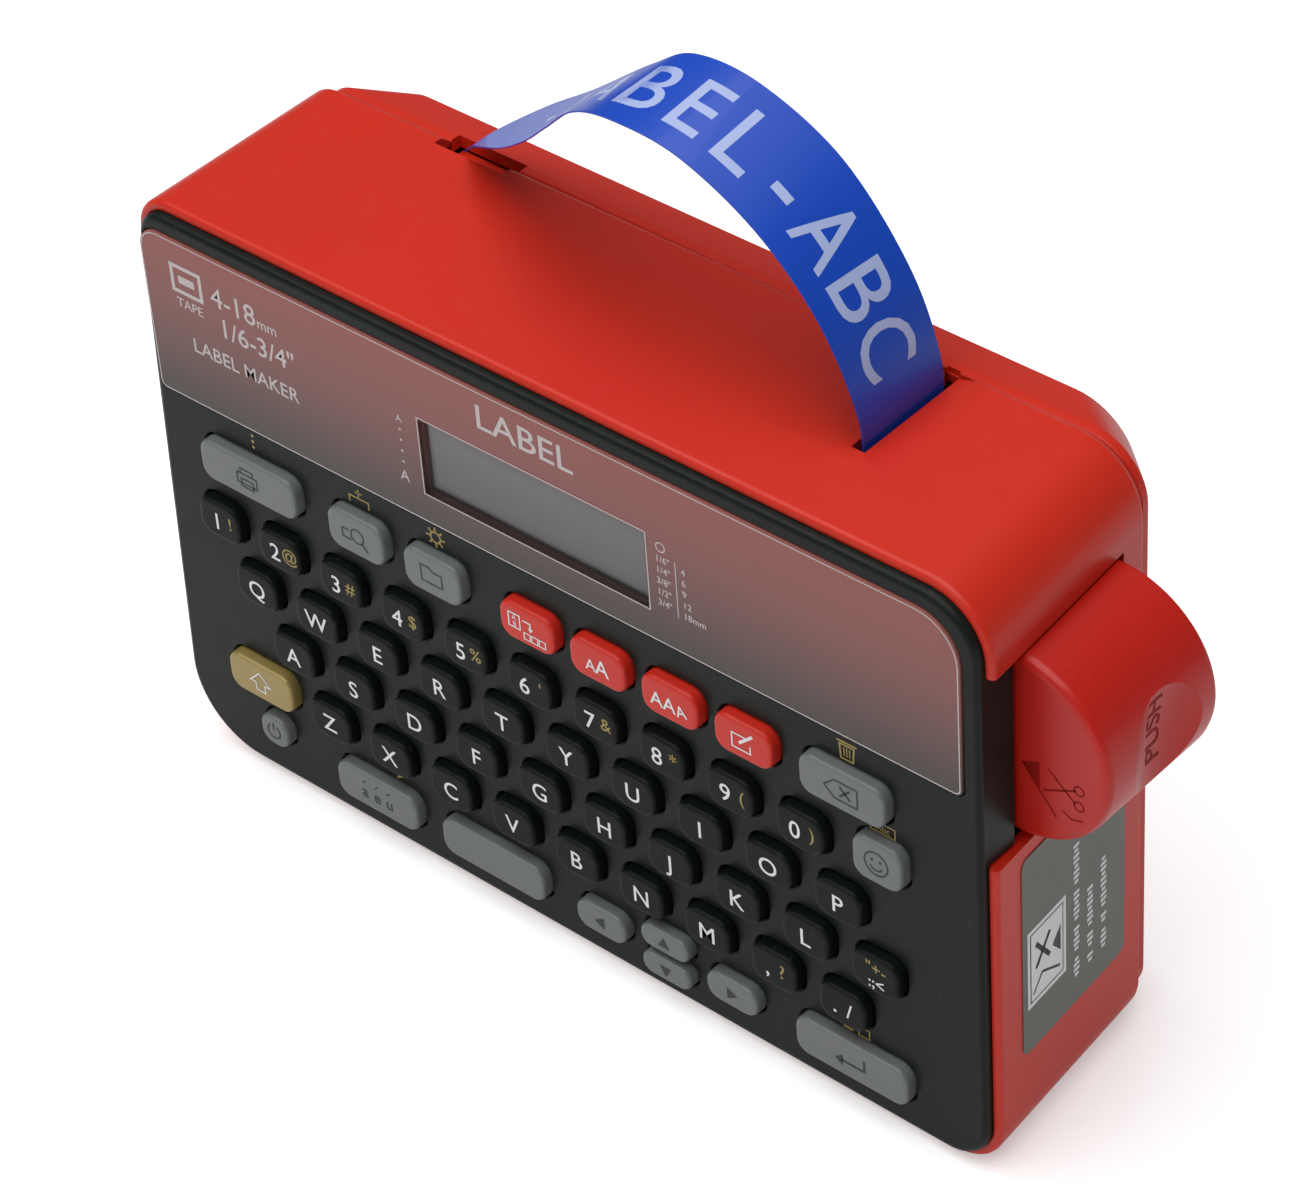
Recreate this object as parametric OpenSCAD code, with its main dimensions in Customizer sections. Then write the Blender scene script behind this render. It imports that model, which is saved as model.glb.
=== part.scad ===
// Handheld label maker standing on its lower edge.
// X runs to the right as seen from the front, Y to the back, Z up.
// The origin is the centre of the overall box, on the surface it stands on.

/* [Body] */
// Width of the housing, without the cutter lever
body_w = 166; // [150:1:200]
// Height of the housing
body_h = 108; // [98:1:130]
// Depth from the face to the back of the rear cover
body_d = 50; // [46:1:64]
// Wall of the housing shells
wall = 2.2; // [1.6:0.1:3]
// How far the left side leans in at the top
side_lean = 3.4; // [0:0.2:6]
// How far the right side comes in from the front edge to the seam
side_draft = 3.2; // [0:0.2:5]
// Corner radius at the top left
r_tl = 7; // [5:0.5:12]
// Corner radius at the top right
r_tr = 11; // [6:0.5:14]
// Corner radius at the bottom right
r_br = 9; // [6:0.5:14]
// Corner radius at the bottom left
r_bl = 15; // [8:0.5:20]
// Depth of the part of the body that the front shell covers
shell_d = 40.5; // [38:0.5:44]
// Gap along the seam between front shell and rear cover
seam_gap = 0.3; // [0.2:0.1:0.6]

/* [Face] */
// Thickness of the black face plate
face_t = 2; // [1.6:0.1:3]
// How far the face plate stands proud of the red rim
face_proud = 1.6; // [0.8:0.1:1.8]
// Inset of the face plate from the outline of the body
face_inset = 1.6; // [1.2:0.1:2.4]
// Clearance between parts that are set into one another
fit_gap = 0.15; // [0.1:0.05:0.3]
// Height of the printed window
lens_h = 30.5; // [28:0.5:34]
// Thickness of the printed window
lens_t = 1.1; // [0.8:0.1:1.4]
// Width of the visible display
lcd_w = 43.5; // [36:0.5:56]
// Height of the visible display
lcd_h = 13.6; // [10:0.2:16]

/* [Keys] */
// Distance between neighbouring letter keys
key_pitch = 13; // [12:0.1:14]
// Distance between rows of letter keys
row_pitch = 10.4; // [9.8:0.1:11]
// Width of a letter key
key_w = 8.8; // [8:0.1:9.6]
// Height of a letter key
key_h = 7.2; // [6.4:0.1:7.6]
// How far the keys stand above the face
key_rise = 1.8; // [1.2:0.1:2.4]
// Travel of a key
key_travel = 1; // [0.6:0.1:1.2]
// Gap around each key in its hole
key_gap = 0.35; // [0.25:0.05:0.5]
// Rim behind the face that keeps a key in
key_flange = 0.5; // [0.4:0.05:0.55]

/* [Cutter] */
// How far the lever bulges out of the right side
lever_bulge = 14; // [11:0.5:17]
// Radius of the lever's curved back
lever_r = 16.2; // [14:0.1:18]
// Length of the lever from front to back
lever_len = 25; // [20:0.5:26]
// Swing of the lever when it is pushed in
lever_swing = 9; // [6:1:10]
// Gap between the lever and the edges around it
lever_gap = 0.5; // [0.4:0.1:1]
// Distance from the lever's pin to its crank stud
crank_r = 12; // [11:0.5:13]
// Radius of the lever's pin
lever_pin_r = 1.5; // [1.2:0.1:2]

/* [Tape] */
// Width of the label tape
tape_w = 18; // [12:1:18]
// Thickness of the label tape
tape_t = 0.3; // [0.2:0.05:0.4]
// Distance of the tape slot from the right side of the body
slot_from_right = 37.5; // [36:0.5:42]
// Radius of the platen roller
platen_r = 5; // [4:0.5:6]

/* [Drive] */
// Module of the gears
gear_m = 0.8; // [0.7:0.05:0.9]
// Teeth of the motor pinion
pinion_teeth = 12; // [10:1:16]
// Teeth of the large idler
idler_teeth = 40; // [34:1:42]
// Teeth of the transfer gear
transfer_teeth = 30; // [24:1:32]
// Teeth of the platen gear
platen_teeth = 20; // [16:1:22]
// Teeth of the ribbon gear
ribbon_teeth = 24; // [20:1:28]
// Radius of the motor can
motor_r = 12; // [10:0.5:13]
// Running clearance of shafts in their holes
run_gap = 0.05; // [0.02:0.01:0.1]

/* [Power] */
// Radius of one battery cell
cell_r = 7.1; // [5:0.05:7.25]
// Length of one battery cell
cell_l = 49.5; // [43:0.5:50.5]

/* [Hidden] */

RED = [0.80, 0.17, 0.13];
BLACK = [0.12, 0.13, 0.13];
GREY = [0.50, 0.52, 0.50];
GOLD = [0.66, 0.55, 0.28];
KEY_RED = [0.86, 0.18, 0.14];
STEEL = [0.72, 0.73, 0.75];
IVORY = [0.86, 0.84, 0.78];
WHITE = [0.93, 0.93, 0.92];
BOARD = [0.10, 0.38, 0.22];
BLUE = [0.02, 0.24, 0.74];
BRASS = [0.80, 0.66, 0.35];

e = 0.01;

// overall box
lever_x = body_w + lever_bulge;
total_w = lever_x;
total_d = body_d + key_rise;

// depth stations, all measured back from the face
rim_y = face_proud;
seam_step = 1.5;
cover_y = shell_d + seam_gap;
key_back_y = face_t + fit_gap + 0.8;
mat_y = key_back_y + key_travel + 1;
mat_t = 0.8;
face_step = 0.5;
board_y = mat_y + mat_t + 0.3;
board_t = 1.6;
gear_y = board_y + board_t + 1.4;
gear_t = 2.6;
floor_y = gear_y + gear_t + 0.6;
floor_t = 1.6;
bay_y = floor_y + floor_t;

// window and display
lens_left = side_lean + 1.9;
lens_right = body_w - 4.3;
lens_top = body_h - 4.4;
lens_bottom = lens_top - lens_h;
lens_proud = 0.3;
lcd_x = body_w * 0.5 + 0.7;
lcd_z = lens_bottom + 12.6;

// key grid: the first key of the upper letter row
grid_x = 22.4;
grid_z = 41.8;
fn_z = grid_z + 2.15 * row_pitch;
low_z = grid_z - 3 * row_pitch;

// lever
lever_top = body_h - 13;
lever_cx = lever_x - lever_r;
lever_cz = lever_top - lever_gap - lever_r;
lever_y = 8.4;
pin_x = body_w - 12;
pin_z = lever_top - 7.6;
// how far the lever's lowest point drops when it swings in
lever_drop = (lever_cx - pin_x) * sin(lever_swing) - (pin_z - lever_cz) * (1 - cos(lever_swing));
opening_z = lever_cz - lever_r - lever_gap - lever_drop;
lever_wall = 2;
ear_t = 2.2;
ear_y = lever_y + lever_len + 1.2;
stud_r = 2;
thumb_r = 24;
crank_y = lever_y + lever_len - lever_wall;

// side label
label_y = 7.4;
label_w = 27;
label_z = 19.5;
label_h = opening_z - label_z - 2.6;

// tape path
slot_x = body_w - slot_from_right;
tape_y = 20.2;
slot_gap = 2.4;
dish_depth = 2.4;
pad_t = 2.4;
cut_z = pin_z + crank_r;
blade_t = 0.5;
cut_gap = 1.2;
rail_t = 3;
rail_z = cut_z - 2.5 - rail_t;
bar_t = 2.6;
front_bar_y = tape_y - bar_t - 1.1;
rear_bar_y = tape_y + tape_w + 0.8;
frame_t = 2.15;
frame_z = cut_z - blade_t / 2 - frame_t;
bridge_t = 1;
prong_t = 1.2;
frame_x = slot_x - 6;
frame_end = pin_x - 10;
anvil_x = slot_x + 8;

// platen and gear centres, each placed from the one it meshes with
platen_x = slot_x + tape_t / 2 + 0.3 + platen_r;
platen_z = 81;
web_z = platen_z - 8;
function gear_r(n) = n * gear_m / 2;
function step_from(c, r, a) = [c[0] + r * cos(a), c[1] + r * sin(a)];
mesh_slack = 0.1;
p_platen = [platen_x, platen_z];
a_transfer = 228;
p_transfer = step_from(p_platen, gear_r(platen_teeth) + gear_r(transfer_teeth) + mesh_slack, a_transfer);
a_idler = 254;
p_idler = step_from(p_transfer, gear_r(transfer_teeth) + gear_r(idler_teeth) + mesh_slack, a_idler);
a_motor = 205;
p_motor = step_from(p_idler, gear_r(idler_teeth) + gear_r(pinion_teeth) + mesh_slack, a_motor);
a_ribbon = 160;
p_ribbon = step_from(p_transfer, gear_r(transfer_teeth) + gear_r(ribbon_teeth) + mesh_slack, a_ribbon);
shaft_r = 1.5;
hub_r = 3;

// phase of a gear so that one of its gaps faces a tooth of the gear it meshes with
function mesh_phase(a, n_from, phase_from, n_to) =
    a + 180 - 180 / n_to + (a - phase_from) * n_from / n_to;
ph_platen = 0;
ph_transfer = mesh_phase(a_transfer, platen_teeth, ph_platen, transfer_teeth);
ph_idler = mesh_phase(a_idler, transfer_teeth, ph_transfer, idler_teeth);
ph_motor = mesh_phase(a_motor, idler_teeth, ph_idler, pinion_teeth);
ph_ribbon = mesh_phase(a_ribbon, transfer_teeth, ph_transfer, ribbon_teeth);

// cassette
cas_w = 64;
cas_h = 43;
cas_x = slot_x - 7 - cas_w;
cas_z = platen_z - 24.5;
cas_y = bay_y + 0.4;
cas_d = tape_y + tape_w + 2.2 - cas_y;
roll_x = cas_x + 20;
roll_z = cas_z + cas_h / 2;
supply_x = cas_x + 45;
supply_z = cas_z + cas_h - 8.5;

// battery bay
bay_x = wall + 2;
bay_z = wall + 4;
cell_pitch = 2 * cell_r + 0.3;
cell_y = bay_y + cell_r + 0.5;
contact_t = 0.4;
spring_l = 2.6;

// screw posts of the face plate
POSTS = [
    [8.5, grid_z + 1.5 * row_pitch], [10, body_h - 10], [cas_x + 2, body_h - 5.4],
    [slot_x - 24, body_h - 5.4], [body_w - 9.5, 14], [body_w - 9.5, 48]
];
post_r = 2.4;
screw_r = 0.95;

// ---------- helpers ----------

// everything is drawn from the body's lower left front corner and set in the frame here
module in_frame() translate([-total_w / 2, key_rise - total_d / 2, 0]) children();

// a flat shape in X and Z, given thickness from y0 back to y1
module slab(y0, y1) translate([0, y1, 0]) rotate([90, 0, 0]) linear_extrude(y1 - y0) children();

// outline of the body: four unequal round corners
// the right side moves in by pull
module outline(inset = 0, sides = 0, ends = 0, pull = 0) hull() {
    translate([side_lean + r_tl + sides, body_h - r_tl - ends]) circle(r_tl - inset, $fn = 32);
    translate([body_w - r_tr - sides - pull, body_h - r_tr - ends]) circle(r_tr - inset, $fn = 32);
    translate([body_w - r_br - sides - pull, r_br + ends]) circle(r_br - inset, $fn = 32);
    translate([r_bl + sides, r_bl + ends]) circle(r_bl - inset, $fn = 48);
}

function side_pull(y) = side_draft * (y - rim_y) / (shell_d - rim_y);
module slice(y, inset, pull, sides = 0, ends = 0)
    slab(y, y + e) outline(inset, sides, ends, pull);

// rounded rectangle centred on the origin
module round_rect(w, h, r) {
    square([w - 2 * r, h], center = true);
    square([w, h - 2 * r], center = true);
    for (sx = [-1, 1], sz = [-1, 1])
        translate([sx * (w / 2 - r), sz * (h / 2 - r)]) circle(r, $fn = 32);
}

// a round bar along Y
module rod(x, z, y0, y1, r)
    translate([x, y1, z]) rotate([90, 0, 0]) cylinder(h = y1 - y0, r = r, $fn = 48);

// one tooth: half widths as shares of half a pitch at the root and the tip
function tooth(n, m, a) = [
    [n * m / 2 - 1.15 * m, a - 1.3 * 90 / n], [n * m / 2 + 0.8 * m, a - 0.5 * 90 / n],
    [n * m / 2 + 0.8 * m, a + 0.5 * 90 / n], [n * m / 2 - 1.15 * m, a + 1.3 * 90 / n]
];
function polar(q) = [q[0] * cos(q[1]), q[0] * sin(q[1])];
module gear_shape(n, phase)
    polygon([for (k = [0:n - 1]) for (q = tooth(n, gear_m, phase + k * 360 / n)) polar(q)]);
module gear(c, n, phase, y0 = gear_y, y1 = gear_y + gear_t)
    slab(y0, y1) translate(c) gear_shape(n, phase);

// a tube of constant radius along a list of points
function unit(v) = v / norm(v);
function heading(p, i) = unit(p[min(i + 1, len(p) - 1)] - p[max(i - 1, 0)]);
module tube(path, r, up = [0, 1, 0], sides = 8) {
    rings = [for (i = [0:len(path) - 1])
        let (t = heading(path, i), a = unit(cross(t, up)), b = cross(t, a))
        for (k = [0:sides - 1]) path[i] + r * (a * cos(k * 360 / sides) + b * sin(k * 360 / sides))];
    last = (len(path) - 1) * sides;
    walls = [for (i = [0:len(path) - 2]) for (k = [0:sides - 1])
        let (n = (k + 1) % sides, j = i * sides) [j + k, j + sides + k, j + sides + n, j + n]];
    first_cap = [for (k = [0:sides - 1]) k];
    last_cap = [for (k = [sides - 1:-1:0]) last + k];
    polyhedron(rings, concat([first_cap], walls, [last_cap]));
}

// ---------- housing ----------

module tape_slot()
    translate([slot_x - slot_gap / 2, tape_y - 0.7, cut_z]) cube([slot_gap, tape_w + 3.6, 30]);

// funnel that runs down to the tape slot
module tape_dish() hull() {
    translate([slot_x - 17, tape_y - 5.8, body_h]) cube([26, body_d, 1]);
    translate([slot_x - slot_gap / 2, tape_y - 0.7, body_h - dish_depth]) cube([slot_gap, body_d, 1]);
}

module front_shell() color(RED) in_frame() difference() {
    union() {
        difference() {
            hull() {
                slice(rim_y, 0, 0);
                slice(shell_d - e, 0, side_draft);
            }
            hull() {
                slice(0, wall, side_pull(0));
                slice(body_d, wall, side_pull(body_d));
            }
        }
        // thicker roof under the funnel
        intersection() {
            slab(bay_y + 0.2, shell_d) outline(wall - 0.5);
            translate([slot_x - 19, 0, body_h - wall - pad_t]) cube([30, body_d, 5]);
        }
        // ledges that the chassis is screwed against
        for (z = [26, body_h - 36])
            translate([wall - 0.5 + side_lean * z / body_h, floor_y - 3, z]) cube([3.5, 3, 8]);
        for (z = [24, 40]) translate([body_w - wall - 3, floor_y - 3, z]) cube([3.5, 3, 8]);
    }
    // rebate for the face plate
    slab(rim_y - e, face_t) outline(face_inset - fit_gap);
    // the whole right side is open around the lever
    translate([body_w - 12, 0, opening_z])
        cube([20, lever_y + lever_len + lever_gap, lever_top - opening_z]);
    tape_dish();
    tape_slot();
    // finger notch at the seam
    translate([32, shell_d - 3.2, body_h - 6]) cube([14, 5, 8]);
}

module cover_form(inset) hull() {
    slice(cover_y, seam_step + inset, side_draft);
    slice(cover_y + 1.5, seam_step + inset, side_draft);
    slice(body_d - e - inset, inset, side_draft, 9, 3.6);
}

module rear_cover() color(RED) in_frame() {
    difference() {
        cover_form(0);
        cover_form(wall);
        slab(cover_y - 1, cover_y + 1.6) outline(seam_step + wall, pull = side_draft);
        tape_slot();
        translate([32, 0, body_h - 6]) cube([14, cover_y + 2, 8]);
    }
    // rim that plugs into the front shell
    difference() {
        slab(shell_d - 3.5, cover_y + 2) outline(wall + 0.35, pull = side_draft);
        slab(shell_d - 4, cover_y + 3) outline(wall + 1.75, pull = side_draft);
        translate([30, 0, body_h - 8]) cube([18, cover_y, 12]);
        translate([slot_x - 24, 0, body_h - 12]) cube([52, cover_y, 20]);
        translate([body_w - 14, 0, opening_z - 3]) cube([20, cover_y, lever_top - opening_z + 6]);
    }
}

// ---------- face ----------

module lens_outline(grow = 0) translate([(lens_left + lens_right) / 2, (lens_top + lens_bottom) / 2]) {
    w = lens_right - lens_left + 2 * grow;
    round_rect(w, lens_h + 2 * grow, 4.6);
    translate([0, -lens_h / 4 - grow / 2]) square([w, lens_h / 2 + grow], center = true);
}

module key_hole(x, z, w, h)
    translate([x, z]) round_rect(w + 2 * key_gap, h + 2 * key_gap, key_r(h) + key_gap);

module key_holes() {
    for (k = letter_keys()) key_hole(k[0], k[1], key_w, key_h);
    for (k = CAPS) key_hole(k[1], k[2], k[3], k[4]);
}

module face_panel() color(BLACK) in_frame() difference() {
    union() {
        slab(0, face_step + e) outline(face_inset + face_step);
        slab(face_step, face_t) outline(face_inset);
        slab(face_t - e, mat_y - fit_gap) difference() {
            outline(wall + fit_gap, pull = side_pull(mat_y));
            outline(wall + 1.6, pull = side_pull(mat_y));
        }
        for (p = POSTS) rod(p[0], p[1], face_t - e, floor_y, post_r);
        // cheek that closes the side in front of the lever
        translate([body_w - 5, 1, opening_z + 0.3]) cube([3.4, lever_y - 1.6, lever_top - opening_z - 0.6]);
    }
    slab(-1, lens_t - lens_proud) lens_outline(fit_gap);
    slab(-1, face_t + 1) key_holes();
    slab(-1, face_t + 1) translate([lcd_x, lcd_z]) square([lcd_w + 3, lcd_h + 3], center = true);
    for (p = POSTS) rod(p[0], p[1], face_t + 2, floor_y + 1, screw_r + run_gap);
}

module lens() color([0.62, 0.34, 0.33]) in_frame()
    slab(-lens_proud, lens_t - lens_proud) lens_outline();

module display() color(GREY) in_frame() {
    difference() {
        slab(face_t + 0.1, face_t + 3.4) translate([lcd_x, lcd_z]) round_rect(lcd_w + 10, lcd_h + 8, 1);
        slab(face_t, face_t + 0.7) translate([lcd_x, lcd_z]) square([lcd_w + 1, lcd_h + 1], center = true);
    }
}

module keypad_mat() color([0.30, 0.31, 0.32]) in_frame() difference() {
    union() {
        slab(mat_y, mat_y + mat_t) intersection() {
            outline(wall + 2.2);
            translate([0, wall + 3]) square([body_w - wall - 8.5, fn_z + 1]);
        }
        for (k = letter_keys()) dome(k[0], k[1]);
        for (k = CAPS) dome(k[1], k[2]);
    }
    for (p = POSTS) rod(p[0], p[1], 0, bay_y, post_r + 0.4);
}

module dome(x, z) rod(x, z, key_back_y + key_travel + 0.1, mat_y + e, 1.6);

module main_board() color(BOARD) in_frame() difference() {
    union() {
        slab(board_y, board_y + board_t) intersection() {
            outline(wall + 2);
            translate([wall + 4, wall + 3]) square([body_w - 2 * wall - 9, opening_z - 8]);
        }
        slab(board_y, board_y + board_t) translate([lcd_x - 40, 30]) square([76, body_h - 44]);
        for (c = [[48, 34, 12, 12], [66, 30, 8, 6], [30, 58, 10, 7]])
            slab(board_y + board_t - e, board_y + board_t + 1) translate([c[0], c[1]]) square([c[2], c[3]]);
    }
    for (p = POSTS) rod(p[0], p[1], 0, bay_y, post_r + 0.4);
}

// ---------- chassis ----------

module chassis() color([0.17, 0.18, 0.19]) in_frame() difference() {
    union() {
        slab(floor_y, bay_y) outline(wall + 0.3, pull = side_pull(bay_y));
        battery_walls();
        cassette_walls();
        // motor cradle
        difference() {
            rod(p_motor[0], p_motor[1], bay_y - e, bay_y + 6, motor_r + 1.6);
            rod(p_motor[0], p_motor[1], bay_y - 1, bay_y + 7, motor_r + run_gap);
        }
        // rails for the cutter carriage and the block that holds the anvil
        for (y = [front_bar_y, rear_bar_y])
            translate([slot_x - 6, y, rail_z]) cube([26, bar_t, rail_t]);
        translate([slot_x - 6, bay_y - e, rail_z]) cube([26, front_bar_y - bay_y + 1, rail_t]);
        translate([anvil_x, bay_y - e, rail_z]) cube([12, rear_bar_y + bar_t - bay_y, rail_t]);
        // ears of the lever pin and the bar that joins them
        for (y = [floor_y, ear_y])
            translate([pin_x - 5, y, pin_z - 3.4]) cube([8.4, ear_t, 6.8]);
        translate([pin_x - 7.4, floor_y, pin_z - 3.4]) cube([3, ear_y + ear_t - floor_y, 6.8]);
    }
    // the lever swings in here, below its pin and to the right of it
    translate([pin_x - 1, floor_y - 1, opening_z - 3]) cube([20, lever_len - 2.4, pin_z - opening_z - 1]);
    translate([pin_x + 6, floor_y - 1, opening_z - 3])
        cube([20, lever_len - 2.4, lever_top - opening_z + 3.6]);
    rod(pin_x, pin_z, floor_y - 1, body_d, lever_pin_r + run_gap);
    for (c = [p_platen, p_transfer, p_idler, p_ribbon]) rod(c[0], c[1], 0, bay_y + 1, shaft_r + run_gap);
    rod(p_motor[0], p_motor[1], 0, bay_y + 1, hub_r);
    for (p = POSTS) rod(p[0], p[1], 0, bay_y + 1, screw_r + run_gap);
}

module battery_walls() difference() {
    w = cell_l + spring_l + 4 * contact_t + 2;
    h = 3 * cell_pitch + 1;
    translate([bay_x, bay_y - e, bay_z]) cube([w + 2.8, shell_d - bay_y - 4.2, h + 2.8]);
    translate([bay_x + 1.4, bay_y - 1, bay_z + 1.4]) cube([w, body_d, h]);
    // round corner of the body
    difference() {
        slab(0, body_d) square([20, 20]);
        slab(-1, body_d + 1) outline(wall + 0.3);
    }
}

module cassette_walls() difference() {
    translate([cas_x - 2, bay_y - e, cas_z - 2]) cube([cas_w + 4, 12, cas_h + 2.5]);
    translate([cas_x - 0.3, bay_y - 1, cas_z - 0.3]) cube([cas_w + 10, 20, cas_h + 10]);
}

module case_screws() color(STEEL) in_frame() for (p = POSTS) difference() {
    union() {
        rod(p[0], p[1], bay_y, bay_y + 1.4, 2);
        rod(p[0], p[1], bay_y - 8, bay_y + e, screw_r);
    }
    // cross slot in the head
    for (a = [0, 90])
        slab(bay_y + 0.7, bay_y + 2)
            translate([p[0], p[1]]) rotate(a) square([2.4, 0.5], center = true);
}

module side_label() color([0.40, 0.42, 0.38]) in_frame()
    translate([body_w - side_pull(label_y) + e, label_y, label_z])
        rotate([0, 0, atan(side_draft / (shell_d - rim_y))]) rotate([90, 0, 90]) linear_extrude(0.15)
            translate([label_w / 2, label_h / 2]) round_rect(label_w, label_h, 1.6);

// ---------- power ----------

module batteries() color(BRASS) in_frame() for (i = [0:2], j = [0:1]) {
    flip = (i + j) % 2;
    x0 = bay_x + 1.4 + contact_t + (flip ? spring_l : 1) + 0.4;
    z = bay_z + 1.9 + cell_r + i * cell_pitch;
    translate([x0, cell_y + j * cell_pitch, z]) rotate([0, 90, 0]) {
        cylinder(h = cell_l - 1, r = cell_r, $fn = 48);
        translate([0, 0, flip ? cell_l - 1 - e : -1]) cylinder(h = 1 + e, r = 2.7, $fn = 32);
    }
}

module battery_contacts() color(STEEL) in_frame() {
    x_right = bay_x + 1.4 + cell_l + spring_l + 4 * contact_t + 2;
    for (i = [0:2], j = [0:1]) {
        y = cell_y + j * cell_pitch;
        z = bay_z + 1.9 + cell_r + i * cell_pitch;
        flip = (i + j) % 2;
        for (x = [bay_x + 1.4, x_right - contact_t])
            translate([x, y - 5, z - 5]) cube([contact_t, 10, 10]);
        // conical spring on the flat end of the cell
        coil_x = flip ? bay_x + 1.4 + contact_t : x_right - contact_t;
        coil_dir = flip ? 1 : -1;
        coil = [for (k = [0:30]) let (u = k / 30, r = 4.2 - 1.6 * u)
            [coil_x + coil_dir * (0.2 + u * (spring_l - 0.4)), y + r * cos(k * 30), z + r * sin(k * 30)]];
        tube(coil, 0.25, [1, 0, 0], 6);
    }
}

// ---------- drive ----------

module motor() color(STEEL) in_frame() {
    rod(p_motor[0], p_motor[1], bay_y + 0.2, bay_y + 24, motor_r);
    rod(p_motor[0], p_motor[1], bay_y + 24 - e, bay_y + 25.6, 4);
    rod(p_motor[0], p_motor[1], bay_y - 0.9, bay_y + 0.2 + e, 2.4);
}

module motor_pinion() color(BRASS) in_frame() {
    gear(p_motor, pinion_teeth, ph_motor);
    rod(p_motor[0], p_motor[1], gear_y + gear_t - e, bay_y - 1.2, 1);
}

module idler_gear(c, n, phase) in_frame() difference() {
    union() {
        gear(c, n, phase);
        rod(c[0], c[1], gear_y - 0.6, gear_y + gear_t + 0.4, hub_r);
        rod(c[0], c[1], gear_y + gear_t, bay_y + 0.2, shaft_r);
    }
    // lightening holes in the larger gears
    for (a = [0:60:300]) if (n > 25) let (q = step_from(c, n * gear_m / 4 + 1, a))
        rod(q[0], q[1], 0, body_d, n * gear_m / 14);
}

module large_idler() color(WHITE) idler_gear(p_idler, idler_teeth, ph_idler);
module transfer_gear() color(WHITE) idler_gear(p_transfer, transfer_teeth, ph_transfer);

module platen_roller() color([0.16, 0.16, 0.17]) {
    idler_gear(p_platen, platen_teeth, ph_platen);
    in_frame() {
        rod(platen_x, platen_z, bay_y + 0.1, tape_y + tape_w + 3, shaft_r);
        rod(platen_x, platen_z, tape_y - 1, tape_y + tape_w + 1, platen_r);
    }
}

module ribbon_spindle() color(WHITE) {
    idler_gear(p_ribbon, ribbon_teeth, ph_ribbon);
    in_frame() {
        rod(p_ribbon[0], p_ribbon[1], bay_y + 0.1, tape_y + tape_w, shaft_r);
        rod(p_ribbon[0], p_ribbon[1], cas_y + 2.4, tape_y + tape_w - 1, 6);
        for (a = [0:60:300]) let (q = step_from(p_ribbon, 6, a))
            rod(q[0], q[1], tape_y, tape_y + tape_w - 3, 0.8);
    }
}

module print_head() color(STEEL) in_frame() {
    translate([slot_x - tape_t / 2 - 0.05 - 1.2, tape_y - 1, platen_z - 5]) cube([1.2, tape_w + 2, 10]);
    translate([slot_x - tape_t / 2 - 0.05 - 3.2, bay_y, platen_z - 7])
        cube([2 + e, tape_y + tape_w + 1 - bay_y, 14]);
}

// ---------- tape ----------

module cassette_window() translate([cas_x + 6, 0, cas_z + cas_h - 9]) cube([22, body_d, 5]);

module tape_cassette() color(IVORY) in_frame() difference() {
    slab(cas_y, cas_y + cas_d)
        translate([cas_x + cas_w / 2, cas_z + cas_h / 2]) round_rect(cas_w, cas_h, 4);
    slab(cas_y + 1.4, cas_y + cas_d - 1.4)
        translate([cas_x + cas_w / 2, cas_z + cas_h / 2]) round_rect(cas_w - 2.8, cas_h - 2.8, 3);
    rod(p_ribbon[0], p_ribbon[1], 0, body_d, 7.2);
    for (c = [[roll_x, roll_z, 5.6], [supply_x, supply_z, 3.4]])
        rod(c[0], c[1], cas_y + 2, body_d, c[2]);
    cassette_window();
    // mouth for the tape
    translate([cas_x + cas_w - 2, tape_y - 0.5, cas_z + 8]) cube([4, tape_w + 1, 16]);
}

module spool(x, z, core_r, wound_r) difference() {
    union() {
        rod(x, z, cas_y + 1.8, tape_y + tape_w + 0.2, wound_r);
        rod(x, z, cas_y + 1.8, cas_y + cas_d - 0.2, core_r);
    }
    rod(x, z, cas_y + 3, body_d, core_r - 1.6);
}

module tape_roll() color(BLUE) in_frame() spool(roll_x, roll_z, 5.2, 15);
module ribbon_supply() color([0.2, 0.2, 0.22]) in_frame() spool(supply_x, supply_z, 3, 5.6);

module tape_web() color(BLUE) in_frame()
    translate([slot_x - tape_t / 2, tape_y, web_z]) cube([tape_t, tape_w, cut_z - cut_gap / 2 - web_z]);

// The printed label hangs over in an arch and its end curls round into the notch.
// Each station gives a point on its front edge and one on its rear edge: across from the slot,
// back from that edge of the slot, and up from the top of the body.
LABEL_STATIONS = [
    [[0, 0, cut_z + 0.6 - body_h], [0, 0, cut_z + 0.6 - body_h]],
    [[0, 0, 2], [0, 0, 2]],
    [[-6.4, 0, 15.7], [-5.1, 0, 15.4]],
    [[-17, 0, 26.6], [-16.3, 0, 28.8]],
    [[-30.5, 0, 33.5], [-30.5, 0, 35.6]],
    [[-42.5, 0, 34.8], [-42.5, 0, 36.1]],
    [[-50, 0, 33.3], [-51, 0, 31.2]],
    [[-57.5, 2, 26.6], [-63.3, 0.6, 21.8]],
    [[-64.6, 4.8, 20], [-73.7, 1.6, 14.4]],
    [[-74.9, 9.8, 11.8], [-86.5, 3.3, 4.2]],
    [[-82.5, 11.8, 8], [-94, 2.8, -2.6]]
];
LAST_STATION = len(LABEL_STATIONS) - 1;
LABEL_STEPS = 45;
function spline(a, b, c, d, t) =
    0.5 * (2 * b + (c - a) * t + (2 * a - 5 * b + 4 * c - d) * t * t + (3 * b - a - 3 * c + d) * t * t * t);
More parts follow.
